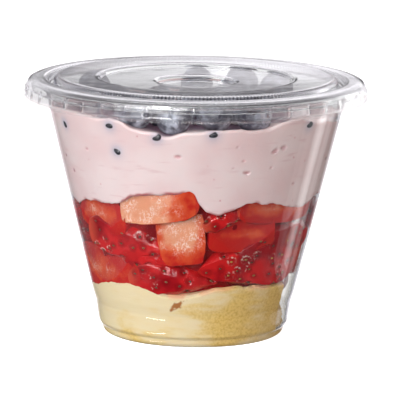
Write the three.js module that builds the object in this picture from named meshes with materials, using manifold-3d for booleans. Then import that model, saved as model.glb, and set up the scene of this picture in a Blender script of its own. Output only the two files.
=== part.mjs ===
// A clear plastic dessert cup with a flat press-on lid, filled with a layer of sponge cake,
// a layer of cut strawberries, pink cream with dark seeds, and blueberries on top.
// Millimetres, +Z up. The origin is the centre of the cup's foot ring, on the table.
// Angles round the cup are in degrees from the front (-Y), positive towards +X.

import * as THREE from "three";
import { mergeVertices } from "three/addons/utils/BufferGeometryUtils.js";
import Module from "manifold-3d";

const wasm = await Module();
wasm.setup();

// Driving dimensions of the cup
const FACETS = 48; // sides of the cup and the lid
const CLEARANCE = 0.35; // gap between neighbouring pieces
const CUP_SHEET = 0.6; // thickness of the formed cup
const FLOOR_RISE = 2.0; // the floor's underside above the table
const FOOT_RADIUS = 27.2;
const FOOT_SLOPE = 0.8; // run of the slopes on both sides of the foot ring
const FOOT_RING = 2.0; // width of the flat ring that stands on the table
const FOOT_HEIGHT = 2.3;
const BAND_RADIUS = 28.3; // stacking band above the foot, at its lower end
const BAND_FLARE = 0.95; // how much wider the band is at its upper end
const BAND_TOP = 9.5;
const SHOULDER_TOP = 12.4; // where the band has widened to the plain wall
const WALL_RADIUS = 27.22; // radius at which the plain wall's line would meet the table
const WALL_SLOPE = 0.2433; // widening of the plain wall for each millimetre of height
const WALL_TOP = 72.9;
const LIP_RADIUS = 49.0;
const LIP_BEND = 0.7; // bevel of the lip's outer edge
const CUP_HEIGHT = 75.6;

// Driving dimensions of the lid
const LID_SHEET = 0.45;
const LID_TOP = 77.2; // upper face of the deck
const DECK_RADIUS = 41.0;
const STEP_RUN = 0.8; // run of the slopes between the deck, the recess and the dimple
const RECESS_RADIUS = 28.6; // stacking recess, which takes the foot of a cup on top
const RECESS_DEPTH = 0.9;
const DIMPLE_RADIUS = 12.0;
const DIMPLE_DEPTH = 1.3;
const GROOVE_FLOOR = 73.7; // the groove plugs the cup's mouth
const GROOVE_WIDTH = 1.1;
const GROOVE_SLOPE = 0.7; // run of each of the groove's walls
const BEAD_TOP = 76.5; // the bead lies over the cup's lip
const BEAD_RADIUS = 50.4;
const SKIRT_RADIUS = 51.8;
const SKIRT_FLARE = 0.9; // run of the turned-out edge at the skirt's foot
const SKIRT_FOOT = 70.9;
const RIB_COUNT = 45; // upright ribs round the skirt
const RIB_WIDTH = 0.55;
const RIB_DEPTH = 0.8;
const RIB_HEIGHT = 2.7;

// Driving dimensions of the filling
const LAYER_FACETS = 24; // sides of the layers
const FACE_RINGS = [0.6, 1]; // rings of points on each face of a layer, as shares of its radius
const MOUTH_RADIUS = 43.0; // radius at which waves of a face have their full height
const STRAWBERRY_SIDES = 8;
const STRAWBERRY_RINGS = 5;
const LONG_PIECE = 22; // strawberry pieces longer than this are found at the back too
const BERRY_FULLNESS = 0.75; // of a whole strawberry: the power that rounds its ends
const CORE_INSET = 3.2; // how far the core of the strawberry heap stays in from the wall
const BLUEBERRY_RADIUS = 5.5;
const BLUEBERRY_SIDES = 8;
const BLUEBERRY_RINGS = 5;
const BLUEBERRY_FLATNESS = 0.92; // height of a berry over its width
const CROWN_ANGLE = 166; // where the crown's crater begins, in degrees from the berry's other end
const CROWN_FLOOR = 0.78; // height of the crater's floor as a share of the radius
const SEED_LENGTH = 2.0;
const SEED_PROUD = 0.15; // how far a seed stands out of the cream's side

const FULL_TURN = 360;
const HALF_TURN = 180;

const CLEAR_CUP = { color: 0xf4f6f7, roughness: 0.06, metalness: 0, transparent: true, opacity: 0.25 };
const CLEAR_LID = { color: 0xeef0f3, roughness: 0.08, metalness: 0, transparent: true, opacity: 0.3 };
const SPONGE = { color: 0xf0d9a0, roughness: 0.9, metalness: 0 };
const STRAWBERRY = { color: 0xc8322c, roughness: 0.35, metalness: 0 };
const PINK_CREAM = { color: 0xe9cfd0, roughness: 0.6, metalness: 0 };
const BLUEBERRY = { color: 0x3c3f58, roughness: 0.55, metalness: 0 };

const radians = THREE.MathUtils.degToRad;

// A repeatable source of numbers from 0 to 1.
function randomFrom(seed) {
  let state = seed;
  return () => {
    state = (state * 16807) % 2147483647;
    return state / 2147483647;
  };
}

// Profile points from pairs of radius and height.
function profileOf(pairs) {
  return pairs.map(([radius, height]) => new THREE.Vector2(radius, height));
}

// Unit vector to the left of the way from one profile point to the next.
function leftNormal(from, to) {
  const along = to.clone().sub(from).normalize();
  return new THREE.Vector2(-along.y, along.x);
}

// A profile moved sideways to its left, with mitred corners.
function offsetProfile(profile, distance) {
  const last = profile.length - 1;
  return profile.map((point, i) => {
    const before = leftNormal(profile[Math.max(i - 1, 0)], profile[Math.max(i, 1)]);
    const after = leftNormal(profile[Math.min(i, last - 1)], profile[Math.min(i + 1, last)]);
    const mitre = before.clone().add(after).divideScalar(1 + before.dot(after));
    return point.clone().addScaledVector(mitre, distance);
  });
}

// A formed sheet: the space between a profile and its offset, turned about the Z axis.
function sheetGeometry(profile, offset) {
  return new THREE.LatheGeometry([...profile, ...offset.toReversed()], FACETS).rotateX(Math.PI / 2);
}

// A closed geometry as a solid that can be joined and cut, with its faces pointing out.
function solidOf(geometry) {
  const bare = geometry.clone();
  bare.deleteAttribute("normal");
  bare.deleteAttribute("uv");
  const merged = mergeVertices(bare, 1e-4);
  const place = merged.getAttribute("position");
  const index = merged.getIndex().array;
  const corner = (i) => new THREE.Vector3().fromBufferAttribute(place, i);
  const faces = [];
  let sixVolumes = 0;
  for (let i = 0; i < index.length; i += 3) {
    const [a, b, c] = index.slice(i, i + 3);
    if (a === b || b === c || c === a) continue;
    faces.push([a, b, c]);
    sixVolumes += corner(a).dot(corner(b).cross(corner(c)));
  }
  if (sixVolumes < 0) faces.forEach((face) => face.reverse());
  return new wasm.Manifold(
    new wasm.Mesh({
      numProp: 3,
      vertProperties: new Float32Array(place.array),
      triVerts: new Uint32Array(faces.flat()),
    }),
  );
}

// A solid as a named mesh of the scene.
function meshOf(solid, name, finish) {
  const made = solid.getMesh();
  const geometry = new THREE.BufferGeometry();
  geometry.setAttribute("position", new THREE.BufferAttribute(made.vertProperties, 3));
  geometry.setIndex(new THREE.BufferAttribute(made.triVerts, 1));
  geometry.computeVertexNormals();
  const mesh = new THREE.Mesh(geometry, new THREE.MeshStandardMaterial(finish));
  mesh.name = name;
  return mesh;
}

// Cup: one formed sheet, from the middle of the floor's underside to the end of the rolled lip

const wallRadius = (height) => WALL_RADIUS + WALL_SLOPE * height;
const footInner = FOOT_RADIUS - FOOT_SLOPE - FOOT_RING;
const lipOuter = LIP_RADIUS - CUP_SHEET;
const lipUnderside = CUP_HEIGHT - CUP_SHEET;

const cupOutside = profileOf([
  [0, FLOOR_RISE],
  [footInner - FOOT_SLOPE, FLOOR_RISE],
  [footInner, 0],
  [FOOT_RADIUS - FOOT_SLOPE, 0],
  [FOOT_RADIUS, FOOT_SLOPE],
  [FOOT_RADIUS + WALL_SLOPE, FOOT_HEIGHT],
  [BAND_RADIUS, FOOT_HEIGHT + FOOT_SLOPE],
  [BAND_RADIUS + BAND_FLARE, BAND_TOP],
  [wallRadius(SHOULDER_TOP), SHOULDER_TOP],
  [wallRadius(WALL_TOP), WALL_TOP],
  [wallRadius(WALL_TOP) + LIP_BEND / 2, lipUnderside - LIP_BEND],
  [wallRadius(WALL_TOP) + 2 * LIP_BEND, lipUnderside],
  [lipOuter - LIP_BEND, lipUnderside],
  [lipOuter, lipUnderside - LIP_BEND],
  [lipOuter, WALL_TOP],
]);

const cupInside = offsetProfile(cupOutside, CUP_SHEET);

function cupSolid() {
  return solidOf(sheetGeometry(cupOutside, cupInside));
}

// The inner face of the foot, the band, the shoulder and the plain wall
const innerWall = cupInside.slice(5, 10);

// Radius of the cup's inner face at a height.
function innerRadius(height) {
  const upper = Math.max(innerWall.findIndex((point) => point.y >= height), 1);
  const [low, high] = [innerWall[upper - 1], innerWall[upper]];
  return THREE.MathUtils.mapLinear(height, low.y, high.y, low.x, high.x);
}

// Lid: one formed sheet, from the middle of its upper face to the foot of the skirt

const recessFloor = LID_TOP - RECESS_DEPTH;
const dimpleFloor = recessFloor - DIMPLE_DEPTH;
const grooveInner = DECK_RADIUS + STEP_RUN + GROOVE_SLOPE;
const grooveOuter = grooveInner + GROOVE_WIDTH;

const lidOutside = profileOf([
  [0, dimpleFloor],
  [DIMPLE_RADIUS - STEP_RUN, dimpleFloor],
  [DIMPLE_RADIUS, recessFloor],
  [RECESS_RADIUS, recessFloor],
  [RECESS_RADIUS + STEP_RUN, LID_TOP],
  [DECK_RADIUS, LID_TOP],
  [DECK_RADIUS + STEP_RUN, LID_TOP - STEP_RUN],
  [grooveInner, GROOVE_FLOOR],
  [grooveOuter, GROOVE_FLOOR],
  [grooveOuter + GROOVE_SLOPE, BEAD_TOP - GROOVE_SLOPE],
  [grooveOuter + 2 * GROOVE_SLOPE, BEAD_TOP],
  [BEAD_RADIUS - 3 * GROOVE_SLOPE, BEAD_TOP],
  [BEAD_RADIUS - GROOVE_SLOPE / 2, BEAD_TOP - GROOVE_SLOPE],
  [BEAD_RADIUS, BEAD_TOP - 2 * STEP_RUN],
  [SKIRT_RADIUS - SKIRT_FLARE, SKIRT_FOOT + SKIRT_FLARE],
  [SKIRT_RADIUS, SKIRT_FOOT],
]);

// One upright rib on the skirt, sunk halfway into the sheet
function skirtRib(turn) {
  const [head, foot] = lidOutside.slice(-3, -1);
  const lean = Math.atan2(foot.x - head.x, head.y - foot.y);
  const rib = new THREE.BoxGeometry(RIB_WIDTH, RIB_DEPTH, RIB_HEIGHT);
  rib.rotateX(-lean);
  rib.translate(0, -(foot.x + head.x) / 2, (foot.y + head.y) / 2);
  rib.rotateZ(radians(turn));
  return solidOf(rib);
}

function lidSolid() {
  let lid = solidOf(sheetGeometry(lidOutside, offsetProfile(lidOutside, -LID_SHEET)));
  for (let i = 0; i < RIB_COUNT; i++) {
    lid = lid.add(skirtRib((i * FULL_TURN) / RIB_COUNT));
  }
  return lid;
}

// Filling: layers with uneven faces, fitted to the cup's inner face

// An uneven face: a level that rises towards the wall, with waves round the cup and soft bumps.
function unevenFace({ level, rise, waves, bumps }) {
  return (x, y) => {
    const turn = Math.atan2(x, -y);
    const share = Math.hypot(x, y) / MOUTH_RADIUS;
    let height = level + rise * share ** 4;
    for (const wave of waves) {
      height += share * wave.height * Math.sin(wave.count * turn + radians(wave.phase));
    }
    for (const bump of bumps) {
      const away = Math.hypot(
        x - bump.distance * Math.sin(radians(bump.turn)),
        y + bump.distance * Math.cos(radians(bump.turn)),
      );
      height += bump.height * Math.exp(-0.5 * (away / bump.reach) ** 2);
    }
    return height;
  };
}

const cakeFloor = () => FLOOR_RISE + CUP_SHEET + CLEARANCE;

// Upper face of the sponge, pressed down where a strawberry bears on it
const cakeTop = unevenFace({
  level: 17.6,
  rise: 0,
  waves: [{ count: 4, phase: -90, height: 2.0 }],
  bumps: [{ turn: -9, distance: 31, reach: 8, height: -0.6 }],
});

// Face between the strawberries and the cream
const fruitTop = unevenFace({
  level: 44.6,
  rise: 0,
  waves: [{ count: 4, phase: 200, height: 1.1 }],
  bumps: [
    { turn: -17, distance: 36, reach: 7, height: 4.0 },
    { turn: 10, distance: 37, reach: 5, height: -2.0 },
  ],
});

// Upper face of the cream: hollow in the middle and rising up the wall
const creamTop = unevenFace({
  level: 66.0,
  rise: 1.2,
  waves: [
    { count: 3, phase: 150, height: 0.5 },
    { count: 5, phase: 60, height: 0.4 },
  ],
  bumps: [
    { turn: -52, distance: 40, reach: 11, height: 2.8 },
    { turn: 42, distance: 41, reach: 6, height: 2.4 },
    { turn: -12, distance: 42, reach: 6, height: -1.6 },
  ],
});

// Where a face meets the cup's wall at a given inset, looking from the axis along a direction.
function edgeOf(face, [sin, cos], inset) {
  let radius = MOUTH_RADIUS;
  for (let pass = 0; pass < 12; pass++) {
    radius = innerRadius(face(radius * sin, radius * cos)) - inset;
  }
  return radius;
}

// A layer between two uneven faces, whose side follows the cup at an inset and bends at given heights.
// Both faces are split into triangles alike, so that layers on top of each other fit.
function layer(floorFace, topFace, inset, bends) {
  const points = [];
  const onFace = (face, direction, share) => {
    const radius = share * edgeOf(face, direction, inset);
    const [x, y] = direction.map((part) => part * radius);
    return [x, y, face(x, y)];
  };
  const onWall = (direction, height) => {
    const radius = innerRadius(height) - inset;
    return [direction[0] * radius, direction[1] * radius, height];
  };
  for (let i = 0; i < LAYER_FACETS; i++) {
    const turn = radians((i * FULL_TURN) / LAYER_FACETS);
    const direction = [Math.sin(turn), -Math.cos(turn)];
    points.push(...FACE_RINGS.map((share) => onFace(floorFace, direction, share)));
    points.push(...bends.map((height) => onWall(direction, height)));
    points.push(...FACE_RINGS.toReversed().map((share) => onFace(topFace, direction, share)));
  }
  points.push([0, 0, floorFace(0, 0)], [0, 0, topFace(0, 0)]);

  const rows = 2 * FACE_RINGS.length + bends.length;
  const floorCentre = LAYER_FACETS * rows;
  const topCentre = floorCentre + 1;
  const indices = [];
  for (let i = 0; i < LAYER_FACETS; i++) {
    const here = i * rows;
    const next = ((i + 1) % LAYER_FACETS) * rows;
    indices.push(floorCentre, next, here);
    for (let k = 0; k < rows - 1; k++) {
      const [a, b, c, d] = [here + k, next + k, next + k + 1, here + k + 1];
      if (k < FACE_RINGS.length - 1) {
        indices.push(a, b, d, b, c, d);
      } else {
        indices.push(a, b, c, a, c, d);
      }
    }
    indices.push(here + rows - 1, next + rows - 1, topCentre);
  }
  const geometry = new THREE.BufferGeometry();
  geometry.setAttribute("position", new THREE.Float32BufferAttribute(points.flat(), 3));
  geometry.setIndex(indices);
  return solidOf(geometry);
}

function cakeSolid() {
  const bends = innerWall.slice(1, 4).map((point) => point.y);
  return layer(cakeFloor, cakeTop, CLEARANCE, bends);
}

// Strawberry pieces: halves of berries large and small, set against the wall

// Half-width of a strawberry of unit width at a share of its length, from the tip (0) to the stalk end (1).
// A lower fullness gives the blunt ends of a chunk that is cut on all sides.
function strawberryRadius(share, fullness) {
  if (share <= 0 || share >= 1) return 0;
  return 0.5 * Math.sin(Math.PI * (1 - share) ** 0.6) ** fullness;
}

// A strawberry of unit length and width that stands along Y with its tip down
function unitStrawberry(fullness) {
  const profile = [];
  for (let i = 0; i <= STRAWBERRY_RINGS; i++) {
    const share = i / STRAWBERRY_RINGS;
    profile.push(new THREE.Vector2(strawberryRadius(share, fullness), share - 0.5));
  }
  return new THREE.LatheGeometry(profile, STRAWBERRY_SIDES);
}

// The pieces that show at the front. turn and height place the middle of a piece's cut face, and inset
// is how far that lies in from the wall. lean turns the piece in the wall's plane, tip tilts it to look
// up, and spin turns it about its own length: 0 shows the skin and 180 the cut face. Chunks that are cut
// on all sides have a fullness of their own.
const SHOWN_PIECES = [
  { turn: -48, height: 39.3, inset: 1.2, length: 21, width: 11, lean: 80, tip: 0, spin: 180, fullness: 0.3 },
  { turn: -55, height: 21.8, inset: 1.0, length: 30, width: 14, lean: 92, tip: 0, spin: 180, fullness: 0.4 },
  { turn: -38, height: 33.0, inset: 4.8, length: 28, width: 14, lean: 80, tip: 0, spin: 0 },
  { turn: -17, height: 44.2, inset: 1.0, length: 24, width: 11, lean: 96, tip: 8, spin: 180, fullness: 0.2 },
  { turn: -6, height: 33.6, inset: 0.8, length: 15, width: 14, lean: 6, tip: 0, spin: 180, fullness: 0.15 },
  { turn: -13, height: 21.4, inset: 4.8, length: 27, width: 13, lean: 86, tip: 0, spin: 0 },
  { turn: 22, height: 33.2, inset: 1.6, length: 22, width: 13, lean: -60, tip: 0, spin: 180, fullness: 0.5 },
  { turn: 36, height: 24.6, inset: 5.0, length: 38, width: 16, lean: -80, tip: 0, spin: 0 },
  { turn: 45, height: 33.6, inset: 4.8, length: 26, width: 13, lean: 80, tip: 0, spin: 0 },
  { turn: 44, height: 42.0, inset: 1.4, length: 29, width: 9, lean: 85, tip: 6, spin: 180, fullness: 0.3 },
  { turn: 11, height: 40.0, inset: 4.6, length: 18, width: 10, lean: 110, tip: 0, spin: 0 },
  { turn: 80, height: 36.5, inset: 4.8, length: 16, width: 13, lean: 10, tip: 0, spin: 0 },
  { turn: -82, height: 33.5, inset: 4.8, length: 20, width: 14, lean: -10, tip: 0, spin: 0 },
];

// The back has the longer of these pieces half a turn on, each moved a little.
function allPieces() {
  const random = randomFrom(11);
  const behind = SHOWN_PIECES.filter((piece) => piece.length > LONG_PIECE).map((piece) => ({
    ...piece,
    turn: piece.turn + HALF_TURN + 8 * (random() - 0.5),
    height: piece.height + 2 * (random() - 0.5),
    lean: piece.lean + 30 * (random() - 0.5),
  }));
  return [...SHOWN_PIECES, ...behind];
}

function pieceSolid(piece) {
  const turn = radians(piece.turn);
  const outward = new THREE.Vector3(Math.sin(turn), -Math.cos(turn), 0);
  const up = new THREE.Vector3(0, 0, 1);
  const sideways = up.clone().cross(outward);
  const middle = outward.clone().multiplyScalar(innerRadius(piece.height) - piece.inset).setZ(piece.height);
  const place = new THREE.Matrix4()
    .makeBasis(sideways, up, outward)
    .setPosition(middle)
    .multiply(new THREE.Matrix4().makeRotationZ(radians(piece.lean)))
    .multiply(new THREE.Matrix4().makeRotationX(radians(-piece.tip)))
    .multiply(new THREE.Matrix4().makeRotationY(radians(piece.spin)))
    .scale(new THREE.Vector3(piece.width, piece.length, piece.width));
  const keptHalf = new THREE.BoxGeometry(2, 2, 1).translate(0, 0, 0.5);
  return solidOf(unitStrawberry(piece.fullness ?? BERRY_FULLNESS).applyMatrix4(place)).intersect(solidOf(keptHalf.applyMatrix4(place)));
}

// The heap: a core that stays in from the wall, with the pieces that show fused on
function fruitSolid() {
  const floor = (x, y) => cakeTop(x, y) + CLEARANCE / 2;
  const top = (x, y) => fruitTop(x, y) - CLEARANCE / 2;
  let heap = layer(floor, top, CORE_INSET, []);
  for (const piece of allPieces()) {
    heap = heap.add(pieceSolid(piece));
  }
  return heap.intersect(layer(floor, top, CLEARANCE, []));
}

// Blueberries: arcs of berries of uneven size, sunk a little into the cream

const BERRY_ARCS = [
  { distance: 36.0, turns: [-29, -10, 9, 28, -121, 137, 157, 180] },
  { distance: 24.2, turns: [-50, -21, 8, 37, 112, -92, 150] },
  { distance: 11.4, turns: [-8, 64, 180, -80, 122] },
];

function blueberries() {
  const random = randomFrom(29);
  const spots = BERRY_ARCS.flatMap(({ distance, turns }) => turns.map((turn) => ({ distance, turn })));
  return spots.map(({ distance, turn }) => {
    const radius = BLUEBERRY_RADIUS * (0.94 + 0.1 * random());
    const x = distance * Math.sin(radians(turn));
    const y = -distance * Math.cos(radians(turn));
    const sunk = 1.6 + random();
    const overhead = distance > RECESS_RADIUS + radius ? LID_TOP : dimpleFloor;
    const highest = overhead - LID_SHEET - CLEARANCE - radius;
    const z = Math.min(creamTop(x, y) + radius - sunk, highest);
    return { x, y, z, radius, lean: 50 * random(), turn: FULL_TURN * random() };
  });
}

// A flattened ball with the small crater of its crown, the whole grown by a margin
function blueberrySolid(berry, margin) {
  const radius = berry.radius + margin;
  const profile = [];
  for (let i = 0; i <= BLUEBERRY_RINGS; i++) {
    const angle = radians((i / BLUEBERRY_RINGS) * CROWN_ANGLE);
    const height = -BLUEBERRY_FLATNESS * radius * Math.cos(angle);
    profile.push(new THREE.Vector2(radius * Math.sin(angle), height));
  }
  profile.push(new THREE.Vector2(0, CROWN_FLOOR * radius));
  const ball = new THREE.LatheGeometry(profile, BLUEBERRY_SIDES).rotateX(Math.PI / 2);
  ball.rotateX(radians(berry.lean)).rotateZ(radians(berry.turn)).translate(berry.x, berry.y, berry.z);
  return solidOf(ball);
}

// Seeds at the cream's side: those that show at the front, and the same ones half a turn on
const SHOWN_SEEDS = [
  { turn: -63, height: 65.3 },
  { turn: -35, height: 67.6 },
  { turn: -15, height: 64.6 },
  { turn: -33, height: 59.9 },
  { turn: 7, height: 65.8 },
  { turn: 50, height: 67.2 },
  { turn: 80, height: 64.8 },
];

function seedSolid(seed, wallInset) {
  const distance = innerRadius(seed.height) - wallInset - SEED_LENGTH / 4 + SEED_PROUD;
  const ball = new THREE.SphereGeometry(SEED_LENGTH / 2, 5, 3);
  ball.scale(1, 0.5, 0.65).translate(0, -distance, seed.height).rotateZ(radians(seed.turn));
  return solidOf(ball);
}

// Cream: fills the cup from the fruit up, hollowed where the berries sit, with the seeds fused on
function creamSolid(berries) {
  const inset = CLEARANCE + SEED_PROUD;
  const floor = (x, y) => fruitTop(x, y) + CLEARANCE / 2;
  let cream = layer(floor, creamTop, inset, []);
  for (const seed of SHOWN_SEEDS) {
    cream = cream.add(seedSolid(seed, inset));
    cream = cream.add(seedSolid({ ...seed, turn: seed.turn + HALF_TURN }, inset));
  }
  for (const berry of berries) {
    cream = cream.subtract(blueberrySolid(berry, CLEARANCE));
  }
  return cream;
}

const dessert = new THREE.Group();
dessert.add(meshOf(cupSolid(), "cup", CLEAR_CUP));
dessert.add(meshOf(lidSolid(), "lid", CLEAR_LID));

const filling = new THREE.Group();
const topping = blueberries();
filling.add(meshOf(cakeSolid(), "sponge_cake", SPONGE));
filling.add(meshOf(fruitSolid(), "strawberry_layer", STRAWBERRY));
filling.add(meshOf(creamSolid(topping), "pink_cream", PINK_CREAM));
topping.forEach((berry, i) => {
  const name = `blueberry_${String(i + 1).padStart(2, "0")}`;
  filling.add(meshOf(blueberrySolid(berry, 0), name, BLUEBERRY));
});
dessert.add(filling);

export default dessert;
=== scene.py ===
"""A clear lidded dessert cup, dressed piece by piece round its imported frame.

Lengths are millimetres up to the point where a mesh is made, and metres from there on. Angles round the
cup are degrees from the front (-Y), positive towards +X.
"""
import logging
import math
from dataclasses import dataclass, field, replace
from enum import Enum

import bpy
import numpy as np
from mathutils import Matrix, Vector


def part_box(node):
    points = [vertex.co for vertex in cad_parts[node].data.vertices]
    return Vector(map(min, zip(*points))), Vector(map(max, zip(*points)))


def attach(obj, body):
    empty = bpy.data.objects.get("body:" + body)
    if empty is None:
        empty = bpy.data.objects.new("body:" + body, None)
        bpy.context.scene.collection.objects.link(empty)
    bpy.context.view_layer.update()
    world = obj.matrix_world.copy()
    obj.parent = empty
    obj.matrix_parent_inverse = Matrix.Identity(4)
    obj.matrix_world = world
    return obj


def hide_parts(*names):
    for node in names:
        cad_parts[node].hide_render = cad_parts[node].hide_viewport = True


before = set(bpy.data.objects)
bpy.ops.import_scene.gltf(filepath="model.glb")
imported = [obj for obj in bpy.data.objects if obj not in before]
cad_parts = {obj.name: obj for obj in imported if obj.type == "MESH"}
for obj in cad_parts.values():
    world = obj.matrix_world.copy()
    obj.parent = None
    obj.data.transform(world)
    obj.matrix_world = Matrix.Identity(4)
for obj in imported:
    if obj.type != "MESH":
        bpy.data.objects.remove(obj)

LOG = logging.getLogger("dessert_cup")
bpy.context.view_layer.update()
BODY = "root"
MM = 0.001
GOLDEN_TURN = math.pi * (3.0 - math.sqrt(5.0))
LEHMER_FACTOR = 16807
LEHMER_PRIME = 2147483647
WHITE = (1.0, 1.0, 1.0)
GREY = (0.8, 0.8, 0.8)

Array = np.ndarray
Triple = tuple[float, float, float]
Colour = Triple
Pairs = tuple[tuple[float, float], ...]
Socket = bpy.types.NodeSocket
Level = float | Socket


class Slot(Enum):
    """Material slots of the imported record."""

    CUP = "clear_cup"
    LID = "clear_lid"
    SPONGE = "sponge"
    STRAWBERRY = "strawberry"
    CREAM = "cream"
    BLUEBERRY = "blueberry"


class Lights(Enum):
    """What a lamp lights."""

    ALL = "all"
    SURFACES = "surfaces"
    REFLECTIONS = "reflections"


# Numbers and grids


def around(radius: Array, turn: Array, height: Array) -> Array:
    """Points at a radius, a turn and a height: (r sin t, -r cos t, z).

    Args:
        radius: Distances from the axis.
        turn: Angles from the front, in radians.
        height: Heights above the table.

    Returns:
        An array of points, one per broadcast entry.
    """
    parts = np.broadcast_arrays(radius * np.sin(turn), -radius * np.cos(turn), height)
    return np.stack(parts, axis=-1)


def smoothstep(low: float, high: float, value: Array) -> Array:
    """Eased step: 3 s^2 - 2 s^3, where s is the value's clipped share of the way from low to high.

    Args:
        low: Value at which the step begins.
        high: Value at which the step is complete.
        value: Values to ease.

    Returns:
        Numbers from 0 to 1.
    """
    share = np.clip((value - low) / (high - low), 0.0, 1.0)
    return share * share * (3.0 - 2.0 * share)


def bell(value: Array, middle: float, reach: float) -> Array:
    """Gaussian of a value: exp(-((v - middle) / reach)^2)."""
    return np.exp(-(((value - middle) / reach) ** 2))


def lattice_noise(points: Array, scale: float, seed: int) -> Array:
    """Smooth noise: random values at the corners of a cubic lattice, blended by a quintic fade.

    Args:
        points: Points, in any unit.
        scale: Pitch of the lattice in the same unit.
        seed: Which noise to give.

    Returns:
        Numbers from -1 to 1, one per point.
    """
    share = np.asarray(points, float) / scale
    cell = np.floor(share).astype(np.int64)
    part = share - cell
    fade = part**3 * (part * (part * 6.0 - 15.0) + 10.0)
    total = np.zeros(share.shape[:-1])
    for corner in np.ndindex(2, 2, 2):
        weight = np.prod(np.where(np.array(corner) == 1, fade, 1.0 - fade), axis=-1)
        key = (cell + corner) @ np.array([73856093, 19349663, 83492791]) + seed * 7919
        key = (key ^ (key >> 13)) * 1274126177 & 0x7FFFFFFF
        key = (key ^ (key >> 16)) * 60493 & 0xFFFFF
        total += weight * (key / 0x7FFFF - 1.0)
    return total


@dataclass(frozen=True)
class Grain:
    """A kind of noise: the pitch of its coarsest features, its octaves and which noise it is."""

    pitch: float
    octaves: int
    seed: int

    def at(self, points: Array, shift: int = 0) -> Array:
        """Lattice noise summed over octaves, each at half the pitch and half the height of the last.

        Args:
            points: Points, in the pitch's unit.
            shift: What to add to the seed, for another noise of this kind.

        Returns:
            Numbers of about -1 to 1, one per point.
        """
        total = 0.0
        for k in range(self.octaves):
            total = total + lattice_noise(points, self.pitch / 2**k, self.seed + shift + k) / 2**k
        return total


def ring_heights(pairs: Pairs, turn: Array, softness: float) -> Array:
    """A height all round the cup, through pairs of turn and height, softened by a Gaussian.

    Args:
        pairs: Turns in degrees, rising, with the height at each.
        turn: Evenly spaced angles of a full turn, in radians.
        softness: Width of the Gaussian, in degrees.

    Returns:
        A height for each angle.
    """
    turns, heights = np.array(pairs).T
    raw = np.interp(np.degrees(turn), turns, heights, period=360.0)
    away = np.degrees(turn) - np.degrees(turn[0])
    away = np.minimum(away, 360.0 - away)
    kernel = np.exp(-0.5 * (away / softness) ** 2)
    spectrum = np.fft.rfft(raw) * np.fft.rfft(kernel / kernel.sum())
    return np.fft.irfft(spectrum, len(raw))


def full_turn(count: int) -> Array:
    """Angles of a full turn in radians, evenly spaced from the back, without the last."""
    return np.arange(count) * (2.0 * math.pi / count) - math.pi


def rounded(points: Array, radius: float, steps: int) -> Array:
    """A polyline whose inner corners are quadratic curves, with a point of support on either side.

    Each corner c becomes (1-t)^2 a + 2t(1-t) c + t^2 b, where a and b lie the radius away from it along
    the two sides, or 0.42 of a side that is too short. The support keeps the flat beside it flat.

    Args:
        points: The polyline, as rows of radius and height.
        radius: How far from a corner its curve begins.
        steps: Points on each curve.

    Returns:
        The rounded polyline, with the same ends.
    """
    corner, before, after = points[1:-1], points[:-2], points[2:]

    def toward(target: Array, reach: float, most: float) -> Array:
        """Points on the sides that lead from the corners to the targets.

        Args:
            target: Where each side ends.
            reach: How far from its corner a point lies.
            most: The largest share of a side that this may be.

        Returns:
            A point for each corner.
        """
        side = target - corner
        length = np.linalg.norm(side, axis=1, keepdims=True)
        return corner + side / length * np.minimum(reach, most * length)

    start, end = toward(before, radius, 0.42)[:, None], toward(after, radius, 0.42)[:, None]
    t = np.linspace(0.0, 1.0, steps)[None, :, None]
    curve = (1 - t) ** 2 * start + 2 * t * (1 - t) * corner[:, None] + t**2 * end
    ahead, behind = toward(before, 1.5 * radius, 0.49), toward(after, 1.5 * radius, 0.49)
    inner = np.concatenate([ahead[:, None], curve, behind[:, None]], axis=1).reshape(-1, 2)
    return np.concatenate([points[:1], inner, points[-1:]])


def thinned(points: Array, pitch: float) -> Array:
    """A polyline without crowded points: of those in each stretch of its length only the first stays.

    Args:
        points: The polyline, as rows of radius and height.
        pitch: Length of a stretch.

    Returns:
        The thinned polyline.
    """
    length = np.concatenate([[0.0], np.cumsum(np.linalg.norm(np.diff(points, axis=0), axis=1))])
    return points[np.unique(np.floor(length / pitch), return_index=True)[1]]


def offset_line(points: Array, distance: float) -> Array:
    """A polyline moved to its left with mitred corners: by d (n1 + n2) / (1 + n1 . n2) at each corner.

    Args:
        points: The polyline, as rows of radius and height.
        distance: How far to move it.

    Returns:
        The moved polyline.
    """
    along = np.diff(points, axis=0)
    along /= np.linalg.norm(along, axis=1, keepdims=True)
    normal = np.stack([-along[:, 1], along[:, 0]], axis=1)
    before, after = np.vstack([normal[:1], normal]), np.vstack([normal, normal[-1:]])
    return points + distance * (before + after) / (1.0 + np.sum(before * after, axis=1, keepdims=True))


def grid_faces(rows: int, columns: int, start: int = 0) -> Array:
    """Quads of a grid whose columns close on themselves.

    Args:
        rows: Rows of the grid.
        columns: Points in each row.
        start: Index of the grid's first point.

    Returns:
        Rows of four indices.
    """
    row = start + columns * np.arange(rows - 1)[:, None]
    here = np.arange(columns)[None, :]
    following = (here + 1) % columns
    quads = [row + here, row + following, row + columns + following, row + columns + here]
    return np.stack(quads, axis=-1).reshape(-1, 4)


def closed_faces(rows: int, columns: int, start: int = 0) -> list[Array]:
    """Faces of a grid whose columns close on themselves and whose first and last rows end in a fan.

    The points are the grid's rows and then two more, the middles of the first and the last row.

    Args:
        rows: Rows of the grid.
        columns: Points in each row.
        start: Index of the grid's first point.

    Returns:
        An array of quads and two of triangles.
    """
    here = np.arange(columns)
    following = (here + 1) % columns
    last = start + (rows - 1) * columns
    first_middle = np.full(columns, start + rows * columns)
    lower = np.stack([first_middle, start + following, start + here], axis=1)
    upper = np.stack([first_middle + 1, last + here, last + following], axis=1)
    return [grid_faces(rows, columns, start), lower, upper]


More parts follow.
